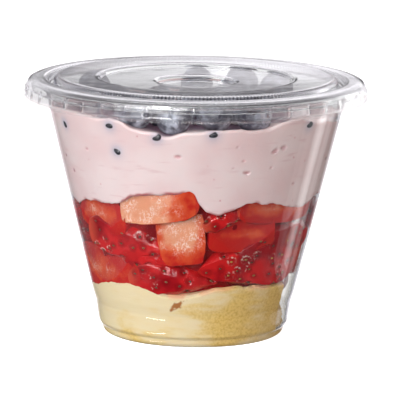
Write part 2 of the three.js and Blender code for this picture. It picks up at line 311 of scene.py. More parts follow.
def with_middles(grid: Array) -> Array:
    """Points of a grid of rows as one list, followed by the middles of its first and last rows."""
    middles = np.stack([grid[0].mean(axis=0), grid[-1].mean(axis=0)])
    return np.concatenate([grid.reshape(-1, 3), middles])


def new_piece(name: str, points: Array, faces: list[Array], **attributes: Array) -> bpy.types.Object:
    """A smooth mesh object at the origin, with its place in its mesh.

    Args:
        name: Name of the piece.
        points: Points in millimetres.
        faces: Arrays of triangles and of quads.
        **attributes: Numbers for each point, which the piece's material reads by name.

    Returns:
        The new object, linked to the scene.
    """
    mesh = bpy.data.meshes.new(name)
    corners = np.concatenate([part.ravel() for part in faces]).astype(np.int32)
    sizes = np.concatenate([np.full(len(part), part.shape[1]) for part in faces])
    starts = np.concatenate([[0], np.cumsum(sizes)[:-1]]).astype(np.int32)
    mesh.vertices.add(len(points))
    mesh.vertices.foreach_set("co", (points * MM).astype(np.float32).ravel())
    mesh.loops.add(len(corners))
    mesh.loops.foreach_set("vertex_index", corners)
    mesh.polygons.add(len(sizes))
    mesh.polygons.foreach_set("loop_start", starts)
    mesh.polygons.foreach_set("use_smooth", np.ones(len(sizes), bool))
    for key, values in attributes.items():
        layer = mesh.attributes.new(key, "FLOAT", "POINT")
        layer.data.foreach_set("value", np.asarray(values, np.float32).ravel())
    mesh.update(calc_edges=True)
    mesh.validate()
    piece = bpy.data.objects.new(name, mesh)
    bpy.context.scene.collection.objects.link(piece)
    return piece


def with_ends(values: Array, first: float = 0.0, last: float = 0.0) -> Array:
    """Numbers of a grid as one list, followed by those of the middles of its first and last rows."""
    return np.concatenate([np.ravel(values), [first, last]])


def closed_piece(name: str, grid: Array, **attributes: Array) -> bpy.types.Object:
    """A piece whose grid closes on itself and ends in a fan at its first and last rows.

    Args:
        name: Name of the piece.
        grid: Rows of points in millimetres.
        **attributes: Numbers for each point and then for the two middles.

    Returns:
        The new object.
    """
    return new_piece(name, with_middles(grid), closed_faces(*grid.shape[:2]), **attributes)


def settle(piece: bpy.types.Object, slot: Slot, material: bpy.types.Material, *nodes: str) -> None:
    """Gives a piece its finish and body, and lets it stand for its nodes.

    Args:
        piece: The piece.
        slot: The record's material slot; not used.
        material: Its finish.
        *nodes: Nodes of the frame that it replaces.
    """
    piece.data.materials.append(material)
    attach(piece, BODY)
    if nodes:
        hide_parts(*nodes)
    LOG.info("%s: %d faces, for %s", piece.name, len(piece.data.polygons), ", ".join(nodes) or "detail")


# Finishes


class Nodes:
    """A node tree under construction."""

    def __init__(self, tree: bpy.types.NodeTree) -> None:
        """Takes a tree and empties it.

        Args:
            tree: The tree.
        """
        self.tree = tree
        tree.nodes.clear()

    def node(self, kind: str, settings: dict, inputs: dict) -> bpy.types.Node:
        """Adds a node.

        Args:
            kind: Node type.
            settings: Its properties.
            inputs: Its sockets, by name or index, each with a value or with another node's output.

        Returns:
            The node.
        """
        made = self.tree.nodes.new(kind)
        for key, value in settings.items():
            setattr(made, key, value)
        for key, value in inputs.items():
            if isinstance(value, Socket):
                self.tree.links.new(value, made.inputs[key])
            else:
                made.inputs[key].default_value = value
        return made

    def step(self, value: Socket, low: Level, high: Level, first: Level, second: Level) -> Socket:
        """A number that eases from the first to the second as a value passes from low to high.

        Args:
            value: The value.
            low: Where the step begins.
            high: Where the step is complete.
            first: The number up to low.
            second: The number from high on.

        Returns:
            The number.
        """
        inputs = {"Value": value, "From Min": low, "From Max": high, "To Min": first, "To Max": second}
        settings = {"interpolation_type": "SMOOTHSTEP"}
        return self.node("ShaderNodeMapRange", settings, inputs).outputs["Result"]

    def mixed(self, share: Socket, first: Colour | Socket, second: Colour | Socket) -> Socket:
        """A colour on the way from the first to the second.

        Args:
            share: 0 for the first and 1 for the second.
            first: A colour or a socket.
            second: A colour or a socket.

        Returns:
            The colour.
        """
        ends = [c if isinstance(c, Socket) else (*c, 1.0) for c in (first, second)]
        inputs = {0: share, 6: ends[0], 7: ends[1]}
        return self.node("ShaderNodeMix", {"data_type": "RGBA"}, inputs).outputs[2]


class Surface(Nodes):
    """A node material under construction round one Principled shader."""

    def __init__(self, name: str) -> None:
        """Makes the material with its shader and output.

        Args:
            name: Name of the material.
        """
        self.material = bpy.data.materials.new(name)
        self.material.use_nodes = True
        super().__init__(self.material.node_tree)
        self.shader = self.node("ShaderNodeBsdfPrincipled", {}, {})
        self.node("ShaderNodeOutputMaterial", {}, {"Surface": self.shader.outputs["BSDF"]})
        self.place = self.node("ShaderNodeTexCoord", {}, {}).outputs["Object"]

    def constants(self, values: dict[str, float | tuple]) -> None:
        """Sets sockets of the shader that are the same all over.

        Args:
            values: Socket names with their values.
        """
        for key, value in values.items():
            self.shader.inputs[key].default_value = value

    def attribute(self, name: str) -> Socket:
        """One of the mesh's own numbers."""
        return self.node("ShaderNodeAttribute", {"attribute_name": name}, {}).outputs["Fac"]

    def stretched(self, scale: Triple) -> Socket:
        """Object coordinates scaled along each axis.

        Args:
            scale: How many times as fast a pattern repeats along X, Y and Z.

        Returns:
            The coordinates.
        """
        settings = {"vector_type": "TEXTURE"}
        inputs = {"Vector": self.place, "Scale": tuple(1.0 / part for part in scale)}
        return self.node("ShaderNodeMapping", settings, inputs).outputs["Vector"]

    def noise(self, pitch: float, detail: float, vector: Socket | None = None) -> Socket:
        """Noise from 0 to 1.

        Args:
            pitch: Size of its largest features, in millimetres.
            detail: Octaves.
            vector: Coordinates, or the object's own.

        Returns:
            The noise.
        """
        inputs = {"Vector": vector or self.place, "Scale": 1.0 / (pitch * MM), "Detail": detail}
        return self.node("ShaderNodeTexNoise", {}, inputs).outputs["Fac"]

    def cells(self, pitch: float) -> Socket:
        """Distance to the nearest of scattered points, as a share of their pitch in millimetres."""
        inputs = {"Vector": self.place, "Scale": 1.0 / (pitch * MM)}
        return self.node("ShaderNodeTexVoronoi", {}, inputs).outputs["Distance"]

    def eased(self, value: Socket, low: float, high: float, top: float = 1.0) -> Socket:
        """Eased step of a value, from 0 at low to top at high.

        Args:
            value: The value.
            low: Where the step begins.
            high: Where the step is complete.
            top: Height of the step.

        Returns:
            The step.
        """
        return self.step(value, low, high, 0.0, top)

    def maths(self, operation: str, *terms: float | Socket) -> Socket:
        """Arithmetic on two or three numbers.

        Args:
            operation: Blender's name of the operation.
            *terms: Numbers or sockets.

        Returns:
            The result.
        """
        return self.node("ShaderNodeMath", {"operation": operation}, dict(enumerate(terms))).outputs[0]

    def varies(self, key: str, value: Socket) -> None:
        """Wires one of the shader's sockets."""
        self.tree.links.new(value, self.shader.inputs[key])

    def colour(self, value: Socket) -> None:
        """Wires the base colour."""
        self.varies("Base Color", value)

    def relief(self, height: Socket, depth: float, strength: float = 1.0, layer: str = "Normal") -> None:
        """Wires a bump.

        Args:
            height: Height from 0 to 1.
            depth: What a height of 1 is, in millimetres.
            strength: Share of the bump that shows.
            layer: The shader's socket that takes it.
        """
        inputs = {"Height": height, "Distance": depth * MM, "Strength": strength}
        bump = self.node("ShaderNodeBump", {}, inputs)
        self.varies(layer, bump.outputs["Normal"])


@dataclass(frozen=True)
class ClearPlastic:
    """Clear formed plastic with the faint waves of a drawn sheet.

    One that thins reads two numbers of its mesh: sheet, how much of it shows, and notch, how much painted
    shade it has.
    """

    name: str
    tint: Colour = (0.985, 0.99, 0.99)
    ior: float = 1.5
    roughness: float = 0.02
    wave_pitch: float = 9.0
    wave_depth: float = 0.03
    thins: bool = False
    shade: Colour = (0.22, 0.22, 0.25)

    def make(self) -> bpy.types.Material:
        """Makes the material.

        Returns:
            The material.
        """
        surface = Surface(self.name)
        surface.constants({
            "Base Color": (*self.tint, 1.0),
            "Roughness": self.roughness,
            "IOR": self.ior,
            "Transmission Weight": 1.0,
        })
        surface.relief(surface.noise(self.wave_pitch, 1.0), self.wave_depth)
        if self.thins:
            # Painted shade in the ticks of the groove's flutes.
            surface.colour(surface.mixed(surface.attribute("notch"), self.tint, self.shade))
            surface.varies("Alpha", surface.attribute("sheet"))
        return surface.material


@dataclass(frozen=True)
class Cream:
    """Smooth pink cream, with faint drawn streaks, small darker specks and a blue tinge round the seeds.

    Its mesh gives the tinge, the painted shade in the hollows where it leaves the wall, the stain along
    its lower edge, and on its top a dark berry stain that also stands for painted shade among the berries.
    """

    pink: Colour = (0.745, 0.57, 0.575)
    light: Colour = (0.785, 0.65, 0.65)
    deep: Colour = (0.69, 0.49, 0.505)
    # Darker pink of the small specks, also used as painted shade in the voids.
    speck_and_void_shade: Colour = (0.62, 0.30, 0.33)
    tinge: Colour = (0.42, 0.42, 0.52)
    # Dark purple of the berry stain on the top, deep enough to stand for painted shade among the berries.
    juice: Colour = (0.10, 0.032, 0.085)
    stain: Colour = (0.42, 0.05, 0.055)

    def make(self) -> bpy.types.Material:
        """Makes the material.

        Returns:
            The material.
        """
        surface = Surface("pink_cream")
        surface.constants({
            "Roughness": 0.5,
            "Subsurface Weight": 0.25,
            "Subsurface Radius": (1.0, 0.5, 0.45),
            "Subsurface Scale": 2.5 * MM,
        })
        streaks = surface.noise(3.0, 3.0, surface.stretched((0.35, 0.35, 2.2)))
        clouds = surface.noise(14.0, 2.0)
        colour = surface.mixed(surface.eased(clouds, 0.35, 0.7), self.pink, self.light)
        colour = surface.mixed(surface.eased(streaks, 0.56, 0.75, 0.7), colour, self.deep)
        dots = surface.eased(surface.cells(3.2), 0.13, 0.06, 0.8)
        sparse = surface.eased(surface.noise(5.0, 0.0), 0.55, 0.65)
        colour = surface.mixed(surface.maths("MULTIPLY", dots, sparse), colour, self.speck_and_void_shade)
        colour = surface.mixed(surface.attribute("tinge"), colour, self.tinge)
        # Painted shade in the voids where the cream leaves the wall.
        colour = surface.mixed(surface.attribute("hollow"), colour, self.speck_and_void_shade)
        colour = surface.mixed(surface.attribute("stain"), colour, self.stain)
        # Berry stain on the top, darkened as painted shade between the berries.
        colour = surface.mixed(surface.attribute("juice"), colour, self.juice)
        surface.colour(colour)
        fine = surface.noise(1.4, 3.0)
        surface.relief(fine, 0.12, 0.5)
        return surface.material


@dataclass(frozen=True)
class Crumb:
    """Sponge cake: an open crumb, paler where it is smeared on the wall and golden where it is torn."""

    pale: Colour = (0.77, 0.645, 0.405)
    golden: Colour = (0.75, 0.53, 0.165)
    # Colour of the painted shade in the crumb's pores.
    pore_shade: Colour = (0.54, 0.33, 0.06)
    crust: Colour = (0.36, 0.13, 0.03)
    stain: Colour = (0.78, 0.36, 0.20)

    def make(self) -> bpy.types.Material:
        """Makes the material.

        Returns:
            The material.
        """
        surface = Surface("sponge_crumb")
        surface.constants({
            "Roughness": 0.85,
            "Subsurface Weight": 0.2,
            "Subsurface Radius": (1.0, 0.7, 0.35),
            "Subsurface Scale": 1.5 * MM,
        })
        torn = surface.attribute("torn")
        drawn = surface.noise(2.6, 4.0, surface.stretched((0.45, 0.45, 1.6)))
        fine = surface.noise(0.7, 3.0)
        share = surface.maths("ADD", torn, surface.maths("SUBTRACT", drawn, 0.5))
        colour = surface.mixed(surface.eased(share, -0.05, 1.0), self.pale, self.golden)
        # Painted shade in the crumb's pores, deeper where it is torn.
        holes = surface.eased(fine, 0.36, 0.74, 0.75)
        depth = surface.maths("MULTIPLY", holes, surface.eased(share, 0.1, 1.0))
        colour = surface.mixed(depth, colour, self.pore_shade)
        colour = surface.mixed(surface.attribute("stain"), colour, self.stain)
        colour = surface.mixed(surface.attribute("crust"), colour, self.crust)
        surface.colour(colour)
        surface.relief(drawn, 0.3, 0.5)
        return surface.material


@dataclass(frozen=True)
class WetFruit:
    """Strawberry, wet with juice: red skin with sunk seeds, and cut faces that pale towards the middle.

    Its mesh says what is cut, how pale the heart is, where painted shade darkens the skin in a pit or it
    pales at the shoulder, where a painted glint shines round the seeds, and where fruit is pressed on the
    wall and has no coat.
    """

    skin: Colour = (0.30, 0.003, 0.008)
    bright: Colour = (0.56, 0.012, 0.014)
    shoulder: Colour = (0.62, 0.10, 0.05)
    # Painted shade in the seed pits and over the heap's core.
    pit: Colour = (0.14, 0.002, 0.004)
    rim: Colour = (0.48, 0.015, 0.012)
    flesh: Colour = (0.62, 0.075, 0.026)
    heart: Colour = (0.75, 0.32, 0.185)
    # Near-white of the painted glints on skin and cut faces.
    glint_white: Colour = (0.92, 0.78, 0.70)

    def make(self) -> bpy.types.Material:
        """Makes the material.

        Returns:
            The material.
        """
        surface = Surface("wet_strawberry")
        surface.constants({
            "Roughness": 0.32,
            "Specular IOR Level": 0.08,
            "Coat Roughness": 0.04,
            "Subsurface Weight": 0.2,
            "Subsurface Radius": (1.0, 0.25, 0.15),
            "Subsurface Scale": 1.2 * MM,
        })
        mottle = surface.noise(3.5, 3.0)
        clouds = surface.noise(9.0, 3.0)
        skin = surface.mixed(surface.eased(clouds, 0.36, 0.6), self.skin, self.bright)
        skin = surface.mixed(surface.attribute("shoulder"), skin, self.shoulder)
        # Painted shade in the pits round the seeds, and over the core.
        skin = surface.mixed(surface.attribute("pit"), skin, self.pit)
        broken = surface.eased(surface.noise(0.7, 2.0), 0.47, 0.62)
        # Painted glints: pale arcs round the seeds, brightest towards the light.
        painted_glint = surface.maths("MULTIPLY", surface.attribute("painted_glint"), broken)
        skin = surface.mixed(painted_glint, skin, self.glint_white)
        depth = surface.maths("ADD", surface.attribute("heart"), surface.maths("SUBTRACT", mottle, 0.5))
        cut = surface.mixed(surface.eased(depth, 0.02, 0.45), self.rim, self.flesh)
        cut = surface.mixed(surface.eased(depth, 0.4, 0.95), cut, self.heart)
        # Painted highlights on the pale cut faces: fine white strands and grains, as glints on wet flesh.
        drawn = surface.noise(1.3, 2.0, surface.stretched((1.0, 1.0, 0.6)))
        glint_veins = surface.maths("ABSOLUTE", surface.maths("SUBTRACT", drawn, 0.5))
        glint_veins = surface.eased(glint_veins, 0.035, 0.0, 0.75)
        glint_grains = surface.eased(surface.noise(0.5, 2.0), 0.52, 0.68, 0.6)
        pale = surface.eased(surface.attribute("heart"), 0.25, 0.8)
        patches = surface.maths("MULTIPLY", pale, surface.eased(surface.noise(4.0, 1.0), 0.4, 0.6))
        painted_shine = surface.maths("MULTIPLY", surface.maths("MAXIMUM", glint_veins, glint_grains), patches)
        cut = surface.mixed(painted_shine, cut, self.glint_white)
        surface.colour(surface.mixed(surface.attribute("cut"), skin, cut))
        surface.relief(surface.noise(0.9, 2.0), 0.12, 0.6)
        pools = surface.eased(surface.noise(7.0, 1.0), 0.30, 0.50)
        film = surface.maths("MULTIPLY", surface.noise(1.2, 2.0), pools)
        surface.relief(film, 0.32, 1.0, "Coat Normal")
        surface.varies("Coat Weight", surface.maths("SUBTRACT", 1.0, surface.attribute("pressed")))
        return surface.material


@dataclass(frozen=True)
class Bloom:
    """Blueberry skin: blue-black, with a patchy pale bloom."""

    dark: Colour = (0.04, 0.038, 0.056)
    bloom: Colour = (0.54, 0.57, 0.67)
    crown: Colour = (0.06, 0.035, 0.04)

    def make(self) -> bpy.types.Material:
        """Makes the material.

        Returns:
            The material.
        """
        surface = Surface("blueberry_bloom")
        patches = surface.eased(surface.noise(6.0, 4.0), 0.38, 0.66, 0.95)
        rubbed = surface.eased(surface.noise(2.2, 4.0), 0.30, 0.66)
        share = surface.maths("MULTIPLY", patches, rubbed)
        colour = surface.mixed(share, self.dark, self.bloom)
        surface.colour(surface.mixed(surface.attribute("crown"), colour, self.crown))
        surface.varies("Roughness", surface.maths("ADD", surface.maths("MULTIPLY", share, 0.5), 0.28))
        surface.relief(surface.noise(0.6, 2.0), 0.05, 0.5)
        return surface.material


@dataclass(frozen=True)
class SeedCoat:
    """The coat of a small seed, in two tones, of which the second takes the mesh's own share of light."""

    name: str
    first: Colour
    second: Colour
    pitch: float
    roughness: float = 0.35

    def make(self) -> bpy.types.Material:
        """Makes the material.

        Returns:
            The material.
        """
        surface = Surface(self.name)
        surface.constants({"Roughness": self.roughness, "Coat Weight": 0.4, "Coat Roughness": 0.1})
        tone = surface.eased(surface.noise(self.pitch, 2.0), 0.42, 0.66)
        # The mesh's share of painted light lightens the seeds towards the cup's right.
        tone = surface.maths("MULTIPLY", tone, surface.attribute("light"))
        surface.colour(surface.mixed(tone, self.first, self.second))
        surface.relief(surface.noise(0.3, 1.0), 0.03)
        return surface.material


PALE_SEED = SeedCoat("strawberry_seed", (0.07, 0.022, 0.010), (0.46, 0.26, 0.06), 3.0)
DARK_SEED = SeedCoat("dark_seed", (0.012, 0.012, 0.018), (0.03, 0.03, 0.045), 0.7)


# Cup


@dataclass
class Cup:
    """The formed cup: foot ring, stacking band, plain flaring wall and rolled lip."""

    sheet: float = 0.6
    floor_rise: float = 2.0
    foot_radius: float = 27.2
    foot_slope: float = 0.8
    foot_ring: float = 2.0
    foot_height: float = 2.3
    band_radius: float = 28.3
    band_flare: float = 0.95
    band_top: float = 9.5
    shoulder_top: float = 12.4
    wall_radius: float = 27.22
    wall_slope: float = 0.2433
    wall_top: float = 72.9
    lip_bend: float = 0.7
    corner: float = 1.1
    pitch: float = 0.1
    segments: int = 360

    def __post_init__(self) -> None:
        """Reads the lip's size from the frame and works out both faces."""
        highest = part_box("cup")[1]
        self.lip_radius = highest.x / MM
        self.height = highest.z / MM
        self.outside = self.outer_line()
        self.inside = offset_line(self.outside, self.sheet)

    def outer_line(self) -> Array:
        """Outer face as a polyline, from the middle of the floor's underside to the lip's end.

        Returns:
            Rows of radius and height.
        """
        wide = self.wall_radius + self.wall_slope * self.wall_top
        shoulder = self.wall_radius + self.wall_slope * self.shoulder_top
        inner = self.foot_radius - self.foot_slope - self.foot_ring
        lip, under = self.lip_radius - self.sheet, self.height - self.sheet
        return np.array([
            [0.0, self.floor_rise],
            [inner - self.foot_slope, self.floor_rise],
            [inner, 0.0],
            [self.foot_radius - self.foot_slope, 0.0],
            [self.foot_radius, self.foot_slope],
            [self.foot_radius + self.wall_slope, self.foot_height],
            [self.band_radius, self.foot_height + self.foot_slope],
            [self.band_radius + self.band_flare, self.band_top],
            [shoulder, self.shoulder_top],
            [wide, self.wall_top],
            [wide + self.lip_bend / 2, under - self.lip_bend],
            [wide + 2 * self.lip_bend, under],
            [lip - self.lip_bend, under],
            [lip, under - self.lip_bend],
            [lip, self.wall_top],
        ])

    def inner_radius(self, height: Array) -> Array:
        """Radius of the inner face at heights from the floor to the lip."""
        wall = self.inside[3:10]
        return np.interp(height, wall[:, 1], wall[:, 0])

    def build(self) -> bpy.types.Object:
        """Turns the sheet between the two faces about the axis.

        Returns:
            The cup.
        """
        line = rounded(np.concatenate([self.outside, self.inside[::-1]]), self.corner, 6)[1:-1]
        line = thinned(line, self.pitch)
        turn = full_turn(self.segments)
        grid = around(line[:, :1], turn[None, :], line[:, 1:])
        points = with_middles(grid)
        points[-2:] = [[0.0, 0.0, line[0, 1]], [0.0, 0.0, line[-1, 1]]]
        return new_piece("cup_shell", points, closed_faces(*grid.shape[:2]))


# Lid


@dataclass
class Lid:
    """The formed lid: dimple, stacking recess, deck, fluted groove, bead and ribbed skirt."""

    sheet: float = 0.45
    deck_radius: float = 41.0
    step: float = 0.8
    recess_radius: float = 28.6
    recess_depth: float = 0.9
    dimple_radius: float = 12.0
    dimple_depth: float = 1.3
    groove_floor: float = 73.7
    groove_width: float = 1.1
    groove_slope: float = 0.7
    bead_top: float = 76.5
    bead_radius: float = 50.4
    skirt_flare: float = 0.9
    corner: float = 0.55
    rib_count: int = 45
    rib_height: float = 0.4
    rib_length: float = 2.7
    flute_count: int = 240
    flute_depth: float = 0.28
    notch_count: int = 180
    shown_at: Triple = (0.15, 0.6, 1.0)
    dish: float = 0.25
    deck_fall: float = 0.45
    pitch: float = 0.2
    segments: int = 720

    def __post_init__(self) -> None:
        """Reads the lid's size from the frame."""
        lowest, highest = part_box("lid")
        self.top = highest.z / MM
        self.skirt_radius = highest.x / MM
        self.skirt_foot = lowest.z / MM

    def upper_line(self) -> Array:
        """Upper face as a polyline, from the foot of the skirt to the axis.

        Returns:
            Rows of radius and height.
        """
        recess = self.top - self.recess_depth
        dimple = recess - self.dimple_depth
        inner = self.deck_radius + self.step + self.groove_slope
        outer = inner + self.groove_width
        return np.array([
            [0.0, dimple],
            [self.dimple_radius - self.step, dimple],
            [self.dimple_radius, recess],
            [self.recess_radius, recess],
            [self.recess_radius + self.step, self.top],
            [self.deck_radius, self.top],
            [self.deck_radius + self.step, self.top - self.step],
            [inner, self.groove_floor],
            [outer, self.groove_floor],
            [outer + self.groove_slope, self.bead_top - self.groove_slope],
            [outer + 2 * self.groove_slope, self.bead_top],
            [self.bead_radius - 3 * self.groove_slope, self.bead_top],
            [self.bead_radius - self.groove_slope / 2, self.bead_top - self.groove_slope],
            [self.bead_radius, self.bead_top - 2 * self.step],
            [self.skirt_radius - self.skirt_flare, self.skirt_foot + self.skirt_flare],
            [self.skirt_radius, self.skirt_foot],
        ])[::-1]

    def ribs(self, turn: Array) -> Array:
        """Narrow peaks from 0 to 1 round the skirt: an eased step of cos(n t / 2)^2."""
        return smoothstep(0.97, 1.0, np.cos(self.rib_count * turn / 2.0) ** 2)

    def formed(self, line: Array, turn: Array) -> Array:
        """A turned face with its dished middle, the groove's flutes and notches, and the skirt's ribs.

        Flutes and notches are cosines of the turn on the groove's two walls, and ribs are narrow peaks.
        The middle sinks by d (1 - (r / R)^2).

        Args:
            line: Rows of radius and height.
            turn: Angles in radians.

        Returns:
            A grid of points, a row for each point of the line.
        """
        radius, height = line[:, :1], line[:, 1:]
        inner = self.deck_radius + self.step + self.groove_slope
        outer = inner + self.groove_width
        tall = smoothstep(self.groove_floor + 0.2, self.groove_floor + 1.0, height)
        low = smoothstep(self.top - 0.02, self.top - 0.4, height)
        flutes = (np.abs(radius - inner + self.groove_slope) < self.step + 0.1) * tall * low
        low = smoothstep(self.bead_top - 0.1, self.bead_top - 0.8, height)
        notches = (np.abs(radius - outer - self.groove_slope / 2) < self.groove_slope) * tall * low
        middle = 0.5 * (self.skirt_foot + self.skirt_flare + self.bead_top - 2 * self.step)
        along_rib = np.abs(height - middle) / self.rib_length
        skirt = (radius > self.bead_radius - 0.6) * smoothstep(0.5, 0.4, along_rib)
        radius = radius + flutes * self.flute_depth * np.cos(self.flute_count * turn)
        radius = radius + notches * self.flute_depth * np.cos(self.notch_count * turn)
        radius = radius + skirt * self.rib_height * self.ribs(turn)
        share = np.clip(line[:, :1] / self.recess_radius, 0.0, 1.0)
        width = self.deck_radius - self.recess_radius - self.step
        fall = self.deck_fall * np.clip((self.deck_radius - line[:, :1]) / width, 0.0, 1.0)
        return around(radius, turn, height - self.dish * (1.0 - share**2) - fall)

    def shown(self, line: Array, turn: Array) -> Array:
        """How much of the sheet shows: all but for the thin skirt, which fades to its foot between ribs.

        Args:
            line: Rows of radius and height.
            turn: Angles in radians.

        Returns:
            Shares from 0 to 1, a row for each point of the line.
        """
        height = np.where(line[:, 0] > self.bead_radius - 0.9, line[:, 1], self.top)
        foot, skirt, bead = self.shown_at
        share = foot + (skirt - foot) * smoothstep(self.skirt_foot + 0.3, self.skirt_foot + 1.0, height)
        share = share + (bead - skirt) * smoothstep(self.bead_top - 2.4, self.bead_top - 1.4, height)
        on_skirt = (height < self.bead_top - 2.0) * (height > self.skirt_foot + 0.5)
        return np.minimum(share[:, None] + (bead - skirt) * on_skirt[:, None] * self.ribs(turn), 1.0)

    def ticks(self, line: Array, turn: Array) -> Array:
        """Painted shade of dark ticks in the flutes of the groove's inner wall: 1/2 + 1/2 cos(n t).

        Args:
            line: Rows of radius and height.
            turn: Angles in radians.

        Returns:
            Shares from 0 to 1, a row for each point of the line.
        """
        drop = self.top - line[:, 1]
        wall = (np.abs(line[:, 0] - self.deck_radius - 0.9) < 0.95) * smoothstep(1.9, 1.2, drop)
        wall = (wall * smoothstep(0.1, 0.35, drop))[:, None]
        return wall * (0.5 + 0.5 * np.cos(self.flute_count * turn))

    def build(self) -> bpy.types.Object:
        """Turns the sheet between the upper face and its underside about the axis.

        Returns:
            The lid.
        """
        upper = self.upper_line()
        lower = offset_line(upper, self.sheet)[::-1]
        lower[0, 0] = 0.0
        lower[-1] += 0.93 * (upper[0] - lower[-1])
        line = thinned(rounded(np.concatenate([lower, upper]), self.corner, 3)[1:-1], self.pitch)
        turn = full_turn(self.segments)
        grid = self.formed(line, turn)
        points = with_middles(grid)
        sunk = self.dish + self.deck_fall
        points[-2:] = [[0.0, 0.0, lower[0, 1] - sunk], [0.0, 0.0, upper[-1, 1] - sunk]]
        sheet = with_ends(self.shown(line, turn), 1.0, 1.0)
        notch = with_ends(self.ticks(line, turn))
        return new_piece("lid_shell", points, closed_faces(*grid.shape[:2]), sheet=sheet, notch=notch)


# Filling


@dataclass(frozen=True)
class Bump:
    """A soft rise or hollow of an uneven face."""

    turn: float
    distance: float
    reach: float
    height: float

    def at(self, points: Array) -> Array:
        """Height of the bump: h exp(-(d / reach)^2 / 2), d being the distance from its middle in plan.

        Args:
            points: Points.

        Returns:
            A height for each point.
        """
        middle = around(np.array(self.distance), np.radians(self.turn), np.array(0.0))[:2]
        away = np.linalg.norm(points[..., :2] - middle, axis=-1)
        return self.height * np.exp(-0.5 * (away / self.reach) ** 2)


@dataclass
class Layer:
    """What all layers of the filling share: a side on the cup's wall, and a top and a floor."""

    cup: Cup
    columns: int = 640
    side_rows: int = 72
    bite: float = 0.14

    def side(self, low: Array, high: Array, turn: Array) -> Array:
        """Side of the layer, which reaches a little into the wall: r = wall(z) + bite.

        Args:
            low: Height of its lower edge at each angle.
            high: Height of its upper edge at each angle.
            turn: Angles in radians.

        Returns:
            A grid of points, from the lower edge to the upper.
        """
        share = np.linspace(0.0, 1.0, self.side_rows)[:, None]
        height = low + share * (high - low)
        return around(self.cup.inner_radius(height) + self.bite, turn, height)

    def cap(self, edge: Array, level: float, rows: int, blend: float) -> Array:
        """A face from an edge to near the axis, which settles from the edge's height to a level.

        The height is level + (edge - level) exp(-d / blend), d being the way in from the edge.

        Args:
            edge: The row of points that it starts from.
            level: Its height in the middle.
            rows: Rows of points.
            blend: Way in over which it settles.

        Returns:
            A grid of points, from beside the edge to near the axis.
        """
        share = (1.0 - np.linspace(0.0, 1.0, rows + 1)[1:, None, None]) ** 1.15 + 0.004
        grid = edge * share
        inward = np.linalg.norm(edge[:, :2], axis=1) * (1.0 - share[..., 0])
        grid[..., 2] = level + (edge[:, 2] - level) * np.exp(-inward / blend)
        return grid


def flattened(points: Array, scale: Array) -> Array:
    """Points drawn in towards the axis, each by its own scale."""
    return points * np.stack([scale, scale, np.ones_like(scale)], axis=-1)


def repeated(front: Pairs, shift: float) -> Pairs:
    """Pairs of turn and height for the front, followed by the same half a turn on, moved in height."""
    return front + tuple((turn + 180.0, height + shift) for turn, height in front)


